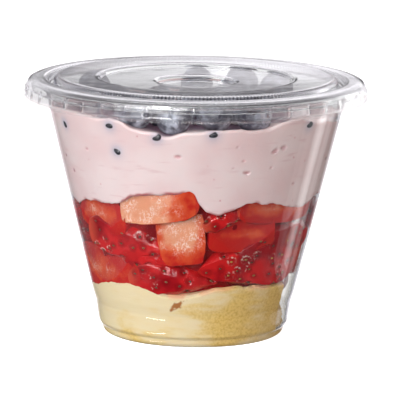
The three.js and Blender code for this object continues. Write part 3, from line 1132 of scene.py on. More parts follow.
@dataclass
class Sponge(Layer):
    """The layer of sponge cake on the cup's floor."""

    top_rows: int = 36
    floor_rows: int = 24
    bottom: float = 0.5
    floor: float = 2.4
    level: float = 17.6
    rim: float = 0.8
    pit_depth: float = 0.1
    edge_softness: float = 1.5
    edge_lumps: float = 0.35
    edge_grain: Grain = Grain(3.0, 3, 5)
    tear_grain: Grain = Grain(16.0, 3, 21)
    pit_grain: Grain = Grain(1.7, 3, 33)
    top_lumps: float = 0.6
    top_grain: Grain = Grain(4.0, 4, 8)
    soak_grain: Grain = Grain(5.0, 2, 14)
    soak_depth: float = 1.8
    top_edge: Pairs = repeated((
        (-82, 15.8), (-64, 17.3), (-48, 18.9), (-38, 19.8), (-30, 19.1), (-24, 17.9), (-18, 16.6),
        (-12, 16.1), (-4, 16.4), (4, 17.5), (8, 18.4), (12, 19.1), (20, 19.2), (32, 18.8),
        (47, 18.2), (57, 17.9), (76, 17.0),
    ), 0.0)
    crust_turn: float = -9.0
    crust_height: float = 13.3
    crust_lean: tuple[float, float] = (0.87, 0.5)
    crust_half: tuple[float, float] = (0.95, 3.0)
    crust_grain: Grain = Grain(0.9, 2, 3)
    hollow: tuple[float, float] = (64.0, 122.0)

    def gap(self, angle: Array, height: Array) -> Array:
        """How far the sponge stands off the wall on one side, which grows from the foot up.

        Args:
            angle: Turns in degrees.
            height: Heights of points.

        Returns:
            A distance for each point.
        """
        first, last = self.hollow
        beside = smoothstep(-5.0, 3.0, angle - first) * smoothstep(5.0, -5.0, angle - last)
        return beside * smoothstep(1.5, 4.5, height) * (1.4 + 3.8 * smoothstep(5.0, 13.0, height))

    def build(self) -> bpy.types.Object:
        """Makes the sponge, with torn pits in its side and a hollow where it stands off the wall.

        Returns:
            The sponge.
        """
        turn = full_turn(self.columns)
        edge = ring_heights(self.top_edge, turn, self.edge_softness)
        edge = edge + self.edge_lumps * self.edge_grain.at(around(30.0, turn, 0.0))
        side = self.side(np.full_like(edge, self.bottom), edge, turn)
        torn = 0.5 + 0.9 * self.tear_grain.at(side * (1, 1, 2))
        torn = torn + 0.75 * np.sin(turn + math.radians(4.0))
        pits = smoothstep(0.1, 0.9, self.pit_grain.at(side * (1, 1, 1.6)))
        pits = pits * np.clip(torn, 0.0, 1.0)
        angle = np.degrees(turn)
        inward = self.pit_depth * pits + self.gap(angle, side[..., 2])
        rim = smoothstep(1.2, 0.0, edge - side[..., 2]) ** 2
        side = flattened(side, 1 - (inward + self.rim * rim) / 30.0)
        top = self.cap(side[-1], self.level, self.top_rows, 6.0)
        inner = smoothstep(0.0, 0.2, np.linspace(0, 1, self.top_rows))[:, None]
        top[..., 2] += self.top_lumps * self.top_grain.at(top) * inner
        floor = self.cap(side[0], self.floor, self.floor_rows, 0.9)[::-1]
        grid = np.concatenate([floor, side, top])

        along = grid[..., 2] - self.crust_height
        across = 30.0 * np.radians(angle - self.crust_turn)
        ragged = 0.5 * self.crust_grain.at(grid)
        (cosine, sine), (wide, tall) = self.crust_lean, self.crust_half
        narrow = (along * cosine - across * sine) / wide
        away = np.hypot(narrow, (across * cosine + along * sine) / tall)
        crust = smoothstep(1.0, 0.55, away + ragged)
        crust = crust * (np.arange(len(grid)) < len(floor) + len(side))[:, None]
        soaked = smoothstep(-0.2, 0.5, self.soak_grain.at(grid))
        stain = smoothstep(self.soak_depth, 0.0, edge - grid[..., 2]) * soaked
        spread = np.pad(torn, ((len(floor), len(top)), (0, 0)), "edge")
        torn = with_ends(np.clip(spread, 0, 1), 0.5, 0.5)
        crust, stain = with_ends(crust), with_ends(0.7 * stain)
        return closed_piece("sponge", grid, torn=torn, crust=crust, stain=stain)


@dataclass(frozen=True)
class CutBerry:
    """One piece of strawberry: half a berry, set against the wall with its skin or its cut outward."""

    turn: float
    height: float
    inset: float
    length: float
    width: float
    lean: float
    tip: float
    spin: float
    pale: float = 0.3
    blunt: float = 0.75

    def radius(self, share: Array) -> Array:
        """Half-width at shares of the length from the tip: w / 2 sin(pi (1 - s)^0.6)^blunt."""
        wave = np.clip(np.sin(math.pi * (1.0 - share) ** 0.6), 0.0, 1.0)
        return 0.5 * self.width * wave**self.blunt

    def place(self, cup: Cup) -> tuple[Array, Array]:
        """Where the piece lies.

        Args:
            cup: The cup that holds it.

        Returns:
            A matrix that turns the piece, and the middle of its cut face.
        """
        turn = math.radians(self.turn)
        outward = np.array([math.sin(turn), -math.cos(turn), 0.0])
        up = np.array([0.0, 0.0, 1.0])
        basis = np.stack([np.cross(up, outward), up, outward], axis=1)
        turns = Matrix.Rotation(math.radians(self.lean), 3, "Z")
        turns = turns @ Matrix.Rotation(math.radians(-self.tip), 3, "X")
        turns = turns @ Matrix.Rotation(math.radians(self.spin), 3, "Y")
        middle = outward * (cup.inner_radius(self.height) - self.inset) + up * self.height
        return basis @ np.array(turns), middle


@dataclass(frozen=True)
class Density:
    """Points of a piece of fruit: rows from tip to stalk, and points over its dome and along its cut."""

    rows: int
    dome: int
    face: int

    def coarser(self) -> "Density":
        """The same with about half as many points each way."""
        return Density(self.rows // 2, self.dome // 2, self.face // 2)


@dataclass
class Heap:
    """The heap of cut strawberries: a core painted dark as the shade between the pieces, the pieces that
    show, and the seeds in the skin.
    """

    cup: Cup
    skin_out: Density = Density(110, 60, 8)
    cut_out: Density = Density(76, 16, 60)
    seed_pitch: float = 3.4
    pit_depth: float = 0.55
    pit_reach: float = 0.85
    seed_half: Triple = (0.32, 0.50, 0.28)
    # Direction of the light that the painted glints round the seeds face.
    light: Triple = (-0.6, -0.2, 0.77)
    bite: float = 0.08
    first_draw: int = 11
    moves: Triple = (8.0, 2.0, 30.0)
    core_span: tuple[float, float] = (14.0, 47.0)
    core_inset: float = 2.6
    core_lumps: float = 1.3
    core_grain: Grain = Grain(9.0, 3, 77)
    lump_grain: Grain = Grain(5.5, 2, 0)
    wet_grain: Grain = Grain(8.0, 2, 60)
    painted_glint_grain: Grain = Grain(7.0, 2, 81)
    front: tuple[CutBerry, ...] = (
        CutBerry(-49.5, 39.3, 1.2, 20, 11, 80, 0, 180, 0.2, 0.16),
        CutBerry(-55, 21.8, 1.0, 30, 14, 92, 0, 180, 0.14, 0.3),
        CutBerry(-38.5, 32.4, 4.6, 28, 13, 80, 0, 0, 0.3, 0.5),
        CutBerry(-24, 27.5, 5.0, 20, 11, 78, 0, 0),
        CutBerry(-17, 44.2, 1.0, 24, 11, 96, 8, 180, 0.97, 0.1),
        CutBerry(-6, 33.6, 0.8, 15, 14, 6, 0, 180, 0.66, 0.1),
        CutBerry(-13, 21.4, 5.2, 27, 13, 86, 0, 0),
        CutBerry(24.5, 35.0, 1.2, 21, 10, -84, 0, 180, 0.0, 0.15),
        CutBerry(36, 27.4, 5.6, 38, 20, -80, 0, 0),
        CutBerry(66, 32.6, 5.2, 20, 13, 80, 0, 0, 0.3, 0.5),
        CutBerry(44, 42.0, 1.4, 29, 9, 85, 6, 180, 0.16, 0.3),
        CutBerry(17.5, 40.7, 3.0, 17, 6, 113, 0, 0),
        CutBerry(80, 36.5, 4.8, 16, 13, 10, 0, 0),
        CutBerry(-82, 33.5, 4.8, 20, 14, -10, 0, 0),
    )

    def all_pieces(self) -> list[CutBerry]:
        """The pieces at the front, and the same half a turn on, each moved a little.

        The moves come from a Lehmer generator: x -> 16807 x mod (2^31 - 1).

        Returns:
            All the pieces of the heap.
        """
        state = self.first_draw
        draws = []
        for _ in range(3 * len(self.front)):
            state = state * LEHMER_FACTOR % LEHMER_PRIME
            draws.append(state / LEHMER_PRIME - 0.5)
        moves = np.array(draws).reshape(-1, 3) * self.moves
        behind = [
            replace(p, turn=p.turn + 180 + turn, height=p.height + rise, lean=p.lean + lean)
            for p, (turn, rise, lean) in zip(self.front, moves)
        ]
        return list(self.front) + behind

    def loop(self, density: Density) -> Array:
        """Section of half a berry, over the dome and back along the cut, closing on itself.

        Args:
            density: Points over the dome and along the cut.

        Returns:
            Rows of unit x and z.
        """
        angle = math.pi * (1.0 - smoothstep(-0.12, 1.12, np.linspace(0, 1, density.dome)))
        angle = np.interp(angle, [angle.min(), angle.max()], [0.0, math.pi])
        dome = np.stack([np.cos(angle), np.sin(angle)], axis=1)
        across = np.cos(np.linspace(0.0, math.pi, density.face + 2))[1:-1]
        return np.concatenate([dome, np.stack([across, np.zeros_like(across)], axis=1)])

    def seed_spots(self, piece: CutBerry) -> Array:
        """Spots of the seeds on a piece's dome, on a golden spiral with an equal share of skin each.

        Args:
            piece: The piece.

        Returns:
            Rows of the share of the length and the angle on the dome.
        """
        share = np.linspace(0.02, 0.98, 200)
        skin = np.cumsum(piece.radius(share))
        count = int(2 * math.pi * piece.radius(share).mean() * piece.length / self.seed_pitch**2)
        index = np.arange(count) + 0.5
        along = np.interp(index / count, skin / skin[-1], share)
        angle = index * GOLDEN_TURN % (2.0 * math.pi)
        draw = np.random.default_rng(count)
        spots = np.stack([along, angle], axis=1)
        spots = spots + draw.normal(0.0, 0.16, spots.shape) * (self.seed_pitch / piece.length, 0.5)
        kept = (draw.random(count) < 0.7) & (np.abs(spots[:, 0] - 0.5) < 0.46)
        return spots[kept & (np.abs(spots[:, 1] - math.pi / 2) < math.pi / 2 - 0.12)]

    def held_in(self, points: Array, bite: float) -> Array:
        """Points drawn in to the cup's wall where they would pass it, as soft fruit flattens on it.

        Args:
            points: Points.
            bite: How far past the wall's inner face they may reach.

        Returns:
            The moved points.
        """
        radius = np.linalg.norm(points[..., :2], axis=-1)
        limit = self.cup.inner_radius(points[..., 2]) + bite
        scale = np.minimum(1.0, limit / np.maximum(radius, 1e-6))
        return flattened(points, scale)

    def piece_grid(
        self, piece: CutBerry, density: Density, seed: int
    ) -> tuple[Array, dict[str, Array], Array]:
        """One piece as a grid of rows from the tip to the stalk end.

        A point is (r(s) x, L (s - 1/2), r(s) z) for the section's unit x and z. Skin sinks round each seed
        by a Gaussian with a raised ring, and a cut face swells a little towards its middle. A painted
        glint is a narrow ring round a seed, brightest on the side that faces the light, and each pit gets
        painted shade.

        Args:
            piece: The piece.
            density: Points of its grid.
            seed: Which noise to use.

        Returns:
            The grid, its numbers for the finish, and for each seed its middle, skin direction and tip.
        """
        share = 0.5 - 0.5 * np.cos(np.linspace(0.03, math.pi - 0.03, density.rows))[:, None]
        section = self.loop(density)
        radius = piece.radius(share)
        local = np.stack(np.broadcast_arrays(
            radius * section[:, 0], piece.length * (share - 0.5), radius * section[:, 1],
        ), axis=-1)
        on_dome = (np.arange(len(section)) < density.dome).astype(float)[None, :]
        outward = np.stack(np.broadcast_arrays(section[:, 0], 0 * share, section[:, 1]), axis=-1)
        outward = np.where(on_dome[..., None] > 0, outward, np.array([0.0, 0.0, -1.0]))

        spots = self.seed_spots(piece)
        spot_radius = piece.radius(spots[:, 0])
        direction = np.stack([np.cos(spots[:, 1]), np.zeros(len(spots)), np.sin(spots[:, 1])], axis=1)
        middles = direction * spot_radius[:, None]
        middles[:, 1] = piece.length * (spots[:, 0] - 0.5)
        gaps = np.linalg.norm(local[:, :, None, :] - middles, axis=-1)
        away = gaps.min(axis=-1)
        pit = bell(away, 0.0, self.pit_reach) * on_dome
        ring = bell(away, 1.6, 0.6) * on_dome

        reach = np.abs(section[:, 0]) * np.ones_like(share)
        heart = (1.0 - np.maximum(reach, np.abs(2.0 * share - 1.0) ** 3)) * (1.0 - on_dome)
        lumps = self.lump_grain.at(local + 40.0 * seed, seed)
        lift = 0.45 * lumps - self.pit_depth * pit + 0.14 * ring
        lift = lift + (1.0 - on_dome) * (0.25 * heart - 0.35 * lumps)
        turn, middle = piece.place(self.cup)
        free = (local + outward * lift[..., None]) @ turn.T + middle
        grid = self.held_in(free, self.bite)
        past = np.linalg.norm(free[..., :2], axis=-1) - self.cup.inner_radius(free[..., 2])

        wet = smoothstep(0.1, 0.35, self.wet_grain.at(grid, seed)) * on_dome
        # Painted glint round each seed, brightest on its side towards the light.
        painted_glint = smoothstep(0.05, 0.3, self.painted_glint_grain.at(grid)) * on_dome
        lit = (local - middles[gaps.argmin(axis=-1)]) @ turn.T @ np.array(self.light)
        painted_glint = painted_glint * (0.12 + 0.88 * smoothstep(-0.3, 0.6, lit / np.maximum(away, 0.1)))
        ripe = 0.3 + 0.7 * smoothstep(0.08, 0.6, share)
        paler = np.clip(heart * 0.9 + 1.5 * (piece.pale - 0.35), 0.0, 1.0) * (1.0 - on_dome) * ripe
        # Painted shade in and round each seed's pit.
        sunk = 0.6 * bell(away, 0.0, 0.6) + 0.4 * bell(away, 1.0, 0.4)
        blush = 0.45 * max(piece.pale - 0.3, 0.0) * np.ones_like(away)
        numbers = {
            "cut": np.broadcast_to(1.0 - on_dome, away.shape),
            "pressed": smoothstep(-0.35, 0.05, past) * (1.0 - wet),
            "pit": sunk * on_dome,
            "shoulder": smoothstep(0.80, 1.0, share) * 0.6 + blush,
            "heart": paler,
            "painted_glint": 0.85 * painted_glint * bell(away, 1.3, 0.24),
        }
        seats = (middles - direction * (self.pit_depth - 0.22)) @ turn.T + middle
        seats = self.held_in(seats, self.bite - 0.05)
        tips = np.broadcast_to(turn @ np.array([0.0, -1.0, 0.0]), seats.shape)
        return grid, numbers, np.stack([seats, direction @ turn.T, tips], axis=1)

    def core(self) -> bpy.types.Object:
        """The heap's core: a lumpy turned body that stays in from the wall, painted dark as the shade
        between the pieces.

        Returns:
            The core.
        """
        turn = full_turn(256)
        height = np.linspace(*self.core_span, 60)[:, None]
        lumps = self.core_lumps * self.core_grain.at(around(30.0, turn, height))
        radius = self.cup.inner_radius(height) - self.core_inset + lumps
        grid = around(radius, turn, height)
        count = len(grid) * len(turn) + 2
        flat = {key: np.zeros(count) for key in ("cut", "pressed", "pit", "shoulder", "heart", "painted_glint")}
        # The pit number paints the whole core dark, as shade between the pieces.
        flat["pit"] += 0.6
        flat["pressed"] += 0.3
        return closed_piece("strawberry_core", grid, **flat)

    def joined(self, name: str, cut_out: bool) -> tuple[bpy.types.Object, Array]:
        """Joins the pieces that show their skin, or those that show their cut, into one mesh.

        Args:
            name: Name of the mesh.
            cut_out: Whether to take the pieces that show their cut.

        Returns:
            The mesh, and the seats of its seeds.
        """
        points, faces, numbers, seats = [], [], {}, []
        start = 0
        for index, piece in enumerate(self.all_pieces()):
            if (piece.spin == 180) != cut_out:
                continue
            density = self.cut_out if cut_out else self.skin_out
            density = density if index < len(self.front) else density.coarser()
            grid, own, seat = self.piece_grid(piece, density, index + 1)
            points.append(with_middles(grid))
            faces.extend(closed_faces(*grid.shape[:2], start))
            start += len(points[-1])
            for key, values in own.items():
                ended = with_ends(values, values[0].mean(), values[-1].mean())
                numbers.setdefault(key, []).append(ended)
            seats.append(seat)
        merged = {key: np.concatenate(values) for key, values in numbers.items()}
        return new_piece(name, np.concatenate(points), faces, **merged), np.concatenate(seats)

    def build(self) -> list[bpy.types.Object]:
        """Makes the pieces that show their skin, those that show their cut, the core and the seeds.

        Returns:
            These four, in this order.
        """
        halves, seats = self.joined("strawberry_halves", False)
        slices, _ = self.joined("strawberry_slices", True)
        seeds = scattered_seeds("strawberry_seeds", seats, self.seed_half, 6, 7)
        return [halves, slices, self.core(), seeds]


def scattered_seeds(name: str, seats: Array, half: Triple, rows: int, columns: int) -> bpy.types.Object:
    """Small pointed seeds as one mesh: (a sin v cos u, b cos v, c sin v sin u) with the tip drawn out.

    Each point's share of painted light, for the finish, grows towards the cup's right.

    Args:
        name: Name of the piece.
        seats: For each seed its middle, the direction that faces out and the direction of its tip.
        half: Half its width, its length and its thickness.
        rows: Rows of points from end to end.
        columns: Points round each row.

    Returns:
        The seeds.
    """
    angle = np.linspace(0.35, math.pi - 0.35, rows)[:, None]
    turn = np.arange(columns) * (2 * math.pi / columns)
    taper = 1.0 - 0.25 * np.cos(angle)
    shape = np.stack(np.broadcast_arrays(
        half[0] * np.sin(angle) * taper * np.cos(turn),
        -half[1] * np.cos(angle),
        half[2] * np.sin(angle) * np.sin(turn),
    ), axis=-1)
    shape = with_middles(shape)
    shape[-2:, 1] = (-half[1], half[1])
    outward = seats[:, 1] / np.linalg.norm(seats[:, 1], axis=1, keepdims=True)
    tip = seats[:, 2] - outward * np.sum(seats[:, 2] * outward, axis=1, keepdims=True)
    tip = tip / np.linalg.norm(tip, axis=1, keepdims=True)
    basis = np.stack([np.cross(tip, outward), tip, outward], axis=1)
    points = seats[:, None, 0] + np.einsum("pk,nkc->npc", shape, basis)
    faces = closed_faces(rows, columns)
    shift = (np.arange(len(seats)) * len(shape))[:, None, None]
    spread = [(part[None] + shift).reshape(-1, part.shape[1]) for part in faces]
    # Painted light: seeds towards the cup's right get more of their lighter tone.
    light = 0.25 + 0.75 * smoothstep(2.0, 14.0, points[..., 0])
    return new_piece(name, points.reshape(-1, 3), spread, light=light)


@dataclass
class CreamLayer(Layer):
    """The layer of pink cream, with dark seeds at its side."""

    top_rows: int = 44
    floor_rows: int = 8
    bite: float = 0.2
    level: float = 66.0
    floor_level: float = 45.0
    rim: float = 0.45
    high_softness: float = 0.9
    high_lumps: float = 0.22
    high_grain: Grain = Grain(4.0, 3, 41)
    low_softness: float = 0.5
    low_lumps: float = 0.3
    low_grain: Grain = Grain(2.5, 3, 43)
    top_lumps: float = 0.8
    top_grain: Grain = Grain(9.0, 3, 44)
    void_depth: float = 0.45
    void_grain: Grain = Grain(1.3, 2, 46)
    juice_middle: tuple[float, float] = (-3.0, -4.0)
    juice_grain: Grain = Grain(8.0, 2, 47)
    stain_grain: Grain = Grain(5.0, 3, 48)
    tinge_reach: float = 2.1
    top_edge: Pairs = (
        (-90, 69.0), (-66, 69.8), (-56, 70.1), (-48, 69.5), (-41, 69.2), (-34, 69.9), (-29, 68.7),
        (-26, 67.3), (-20, 66.5), (-16, 66.4), (-11, 65.0), (-7, 65.9), (-3, 66.8), (3, 67.2),
        (7, 67.5), (12, 67.4), (18, 67.7), (23, 67.1), (30, 67.4), (33, 68.3), (37, 69.4),
        (45, 69.7), (52, 67.8), (59, 67.6), (77, 65.9), (95, 66.5), (120, 67.6), (150, 66.6),
        (175, 67.2), (200, 66.4), (225, 67.8), (250, 67.2),
    )
    bottom_edge: Pairs = repeated((
        (-78, 42.6), (-67, 40.6), (-60, 42.6), (-52, 43.2), (-42, 43.2), (-35, 43.7), (-32, 45.2),
        (-30, 46.3), (-24, 47.1), (-13, 48.0), (-6, 48.4), (-2, 49.1), (0, 48.5), (2, 45.1),
        (5, 43.0), (8, 42.0), (11, 41.8), (14, 42.3), (17, 42.8), (21, 43.9), (24, 45.0),
        (28, 45.0), (36, 44.1), (46, 43.0), (54, 41.7), (62, 42.1), (69, 43.9),
    ), 0.3)
    seeds: Pairs = ((-63, 65.3), (-35, 67.4), (-15, 64.9), (-33, 59.9), (7, 66.2), (50, 67.2), (80, 65.0))
    seed_tilts: tuple[int, ...] = (-55, 8, 20, -35, 15, 10, -80)
    seed_half: Triple = (0.92, 1.42, 0.45)
    voids: tuple[Triple, ...] = (
        (-50, 59.1, 0.5), (-7, 59.3, 0.8), (17, 62.5, 0.5), (16, 56.0, 0.4), (20, 58.1, 0.6),
        (22, 54.4, 0.7), (33.5, 60.3, 1.1), (37, 61.2, 0.9), (33, 55.5, 0.4), (47, 49.7, 0.6),
        (73, 54.8, 0.6), (-64, 51.0, 0.9), (-70, 55.0, 0.8),
    )
    bumps: tuple[Bump, ...] = (
        Bump(-52, 40, 11, 2.8),
        Bump(42, 41, 6, 2.4),
        Bump(-12, 42, 6, -1.6),
    )

    def all_seeds(self) -> Array:
        """Seeds at the front and the same half a turn on, as rows of turn and height."""
        front = np.array(self.seeds)
        return np.concatenate([front, front + (180.0, -0.5)])

    def spots(self, pairs: Array) -> Array:
        """Points on the wall's inner face at pairs of turn and height."""
        return around(self.cup.inner_radius(pairs[:, 1]), np.radians(pairs[:, 0]), pairs[:, 1])

    def build(self) -> tuple[bpy.types.Object, bpy.types.Object]:
        """Makes the cream, which fills the cup to the wall but for small voids, and its seeds.

        Returns:
            The cream and the seeds.
        """
        turn = full_turn(self.columns)
        high = ring_heights(self.top_edge, turn, self.high_softness)
        high = high + self.high_lumps * self.high_grain.at(around(43.0, turn, 0.0))
        low = ring_heights(self.bottom_edge, turn, self.low_softness)
        low = low + self.low_lumps * self.low_grain.at(around(38.0, turn, 0.0))
        side = self.side(low, high, turn)
        voids = np.array(self.voids)
        hollow = self.hollows(side, np.concatenate([voids, voids + (180.0, 1.0, 0.0)]))
        rim = smoothstep(1.0, 0.0, high - side[..., 2]) ** 2
        rim = rim + 0.15 * smoothstep(0.7, 0.0, side[..., 2] - low) ** 2
        scale = 1.0 - (hollow + self.rim * rim) / np.linalg.norm(side[..., :2], axis=-1)
        side = flattened(side, scale)

        top = self.cap(side[-1], self.level, self.top_rows, 7.0)
        inner = smoothstep(0.0, 0.25, np.linspace(0, 1, self.top_rows))[:, None]
        top[..., 2] += inner * sum(0.6 * bump.at(top) for bump in self.bumps)
        top[..., 2] += inner * (self.top_lumps * self.top_grain.at(top * (1, 1, 0)))
        floor = self.cap(side[0], self.floor_level, self.floor_rows, 5.0)[::-1]
        grid = np.concatenate([floor, side, top])
        points = with_middles(grid)

        spots = self.spots(self.all_seeds())
        away = np.linalg.norm(points[:, None] - spots, axis=-1).min(axis=1)
        tinge = 0.8 * bell(away, 0.0, self.tinge_reach)
        # Berry stain and painted shade on the top, round the berries near the middle.
        reach = np.linalg.norm(points[:, :2] - self.juice_middle, axis=1)
        juice = 0.9 * smoothstep(38.0, 30.0, reach + 3.0 * self.juice_grain.at(points))
        juice = juice * (np.arange(len(points)) >= (len(floor) + len(side)) * self.columns)
        ragged = smoothstep(-0.5, 0.6, self.stain_grain.at(grid))
        stain = smoothstep(0.9, 0.15, grid[..., 2] - low) * ragged
        stain = with_ends(0.85 * stain)
        # How much painted shade each void gets: most where it sinks deepest.
        shaded = with_ends(np.pad(0.8 * hollow / hollow.max(), ((len(floor), len(top)), (0, 0))))
        cream = closed_piece("cream_body", grid, tinge=tinge, juice=juice, stain=stain, hollow=shaded)
        return cream, self.seed_piece(spots)

    def hollows(self, side: Array, voids: Array) -> Array:
        """Depth of the small voids where the cream leaves the wall: ragged Gaussians, wider than tall.

        Args:
            side: The side's grid of points.
            voids: Rows of turn, height and reach.

        Returns:
            A depth for each point.
        """
        spots = self.spots(voids)
        away = np.linalg.norm((side[:, :, None] - spots) * (1, 1, 1.6), axis=-1) / voids[:, 2]
        ragged = 1.0 + 0.45 * self.void_grain.at(side)
        return self.void_depth * np.exp(-((away.min(axis=-1) * ragged) ** 4))

    def seed_piece(self, spots: Array) -> bpy.types.Object:
        """The dark seeds, each lying on the wall at its own tilt.

        Args:
            spots: Their middles.

        Returns:
            The seeds.
        """
        outward = spots * (1, 1, 0) / np.linalg.norm(spots[:, :2], axis=1)[:, None]
        sideways = np.cross(np.array([0.0, 0.0, 1.0]), outward)
        tilt = np.radians(np.array(self.seed_tilts * 2))[:, None]
        tip = sideways * np.cos(tilt) + np.array([0.0, 0.0, 1.0]) * np.sin(tilt)
        seats = np.stack([spots, outward, tip], axis=1)
        return scattered_seeds("cream_seeds", seats, self.seed_half, 10, 14)


@dataclass
class Topping:
    """The blueberries on the cream, each standing for a node of the frame."""

    rows: int = 44
    columns: int = 56
    flatness: float = 0.92
    crown_start: float = 0.86
    crown_angle: float = 162.0
    crown_points: int = 5
    crater: float = 0.16
    lumps: float = 0.03
    grain: Grain = Grain(5.0, 2, 9)
    seed: int = 4

    def nodes(self) -> list[str]:
        """Names of the frame's berries, in order."""
        return sorted(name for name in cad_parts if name.startswith("blueberry_"))

    def berry(self, node: str, draw: np.random.Generator) -> bpy.types.Object:
        """One berry: a flattened ball whose crown is a crater with a rim of five points.

        A row at share s of the way from the stalk to the crown has radius R sin(a) and height -f R cos(a)
        where a is s times the crown's angle, and past the crown's start it turns in and down.

        Args:
            node: The node that it stands for.
            draw: Source of its turn and lumps.

        Returns:
            The berry.
        """
        lowest, highest = (np.array(corner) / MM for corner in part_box(node))
        radius = 0.5 * (highest - lowest)[:2].max()
        share = np.linspace(0.02, 1.0, self.rows)[:, None]
        turn = full_turn(self.columns)
        body = np.clip(share / self.crown_start, 0.0, 1.0)
        crown = np.clip((share - self.crown_start) / (1.0 - self.crown_start), 0.0, 1.0)
        angle = np.radians(self.crown_angle) * body
        points_up = 0.5 + 0.5 * np.cos(self.crown_points * turn)
        ring = np.sin(math.pi * crown) * (0.05 + 0.10 * points_up)
        width = radius * np.sin(angle) * (1.0 - crown) ** 0.8
        height = -self.flatness * radius * np.cos(angle) + radius * (ring - self.crater * crown)
        grid = around(width, turn, height)
        lumps = self.lumps * self.grain.at(grid + draw.uniform(-50, 50))
        grid = grid * (1.0 + lumps)[..., None]
        lean, spin = draw.uniform(0.2, 1.2), draw.uniform(-math.pi, math.pi)
        turned = np.array(Matrix.Rotation(spin, 3, "Z") @ Matrix.Rotation(lean, 3, "X"))
        grid = grid @ turned.T + 0.5 * (lowest + highest)
        crowned = np.broadcast_to(smoothstep(0.02, 0.3, crown), grid.shape[:2])
        return closed_piece(node.replace("blueberry", "berry"), grid, crown=with_ends(crowned, 0.0, 1.0))


# Studio


@dataclass(frozen=True)
class SoftBox:
    """A soft rectangular lamp that points at the cup."""

    name: str
    place: Triple
    width: float
    height: float
    power: float
    lights: Lights = Lights.ALL

    def build(self, target: Vector) -> None:
        """Makes the lamp.

        Args:
            target: What it points at, in metres.
        """
        lamp = bpy.data.lights.new(self.name, "AREA")
        lamp.shape = "RECTANGLE"
        lamp.size = self.width
        lamp.size_y = self.height
        lamp.energy = self.power
        holder = bpy.data.objects.new(self.name, lamp)
        holder.location = self.place
        holder.rotation_euler = (target - Vector(self.place)).to_track_quat("-Z", "Y").to_euler()
        holder.visible_camera = False
        holder.visible_diffuse = self.lights is not Lights.REFLECTIONS
        holder.visible_glossy = self.lights is not Lights.SURFACES
        bpy.context.scene.collection.objects.link(holder)


class Room(Nodes):
    """Surroundings: white where they are looked at, and in reflections dim in front and bright behind.

    A level is how bright the room is in a direction. Its Z is how far up that looks, and the heading's X
    and Y are where it looks in plan.
    """

    table_edge: tuple[float, float] = (-0.26, -0.2)
    warm: Colour = (1.0, 0.84, 0.78)
    lilac: Colour = (1.0, 0.972, 1.03)

    def __init__(self) -> None:
        """Makes the world, with the directions and the paths of light that its levels depend on."""
        world = bpy.data.worlds.new("room")
        bpy.context.scene.world = world
        world.use_nodes = True
        super().__init__(world.node_tree)
        direction = self.node("ShaderNodeTexCoord", {}, {}).outputs["Generated"]
        inputs = {0: direction, 1: (1.0, 1.0, 0.0)}
        flat = self.node("ShaderNodeVectorMath", {"operation": "MULTIPLY"}, inputs)
        inputs = {0: flat.outputs["Vector"]}
        plan = self.node("ShaderNodeVectorMath", {"operation": "NORMALIZE"}, inputs)
        self.axes = self.node("ShaderNodeSeparateXYZ", {}, {"Vector": direction}).outputs
        self.heading = self.node("ShaderNodeSeparateXYZ", {}, {"Vector": plan.outputs["Vector"]}).outputs
        self.path = self.node("ShaderNodeLightPath", {}, {}).outputs

    def since(self, count: Socket, number: int, first: Level, second: Level) -> Socket:
        """The second level where a count has come to a number, and the first before that."""
        return self.step(count, number - 0.6, number - 0.4, first, second)

    def behind(self) -> Socket:
        """Level behind the cup: dark just above the table's edge, and bright over that and at the sides.

        Returns:
            The level.
        """
        up, across = self.axes["Z"], self.heading["X"]
        sideways = self.node("ShaderNodeMath", {"operation": "ABSOLUTE"}, {0: across}).outputs[0]
        farther = self.step(across, -0.03, 0.03, 0.30, 0.20)
        brightest = self.step(across, -0.03, 0.03, 1.12, 1.6)
        above = self.step(up, 0.08, farther, 0.16, brightest)
        above = self.step(sideways, 0.15, 0.4, above, 0.95)
        low = self.step(up, *self.table_edge, 0.1, 0.95)
        below = self.step(sideways, 0.25, 0.45, 0.9, low)
        return self.step(up, -0.06, 0.04, below, above)

    def front(self) -> Socket:
        """Level in front of the cup and beside it: dark in front but for a bright window on the left.

        Returns:
            The level.
        """
        up, across = self.axes["Z"], self.heading["X"]
        beside = self.step(up, *self.table_edge, 0.2, 0.55)
        window = self.step(across, -0.2, -0.08, 6.0, 1.6)
        window = self.step(across, -0.9, -0.75, 1.6, window)
        front = self.step(up, 0.1, 0.18, 0.03, window)
        front = self.step(up, 0.38, 0.48, front, 0.03)
        return self.step(self.heading["Y"], -0.85, -0.25, front, beside)

    def mirrored(self) -> Socket:
        """Level in reflections, which differs once light has passed through two faces or three.

        Returns:
            The level.
        """
        up, passed = self.axes["Z"], self.path["Transmission Depth"]
        level = self.step(self.heading["Y"], -0.1, 0.5, self.front(), self.behind())
        level = self.step(up, 0.35, 0.8, level, 0.7)
        inside = self.step(up, *self.table_edge, level, self.step(level, 0.0, 1.0, 0.6, 1.0))
        level = self.since(passed, 2, level, inside)
        return self.since(passed, 3, level, 0.1)

    def build(self) -> None:
        """Wires the level and its tint: warm on the right for lit surfaces, and lilac in reflections."""
        rightward, bounced = self.axes["X"], self.path["Glossy Depth"]
        lit = self.path["Is Diffuse Ray"]
        seen = self.since(bounced, 1, 1.0, self.mirrored())
        seen = self.since(bounced, 2, seen, 0.95)
        level = self.since(lit, 1, seen, self.step(rightward, -0.8, 0.8, 0.52, 0.50))
        share = self.since(lit, 1, 0.0, self.step(rightward, -0.2, 0.8, 0.0, 1.0))
        tint = self.mixed(share, WHITE, self.warm)
        tint = self.mixed(self.since(bounced, 1, 0.0, 1.0), tint, self.lilac)
        background = self.node("ShaderNodeBackground", {}, {"Color": tint, "Strength": level})
        self.node("ShaderNodeOutputWorld", {}, {"Surface": background.outputs["Background"]})


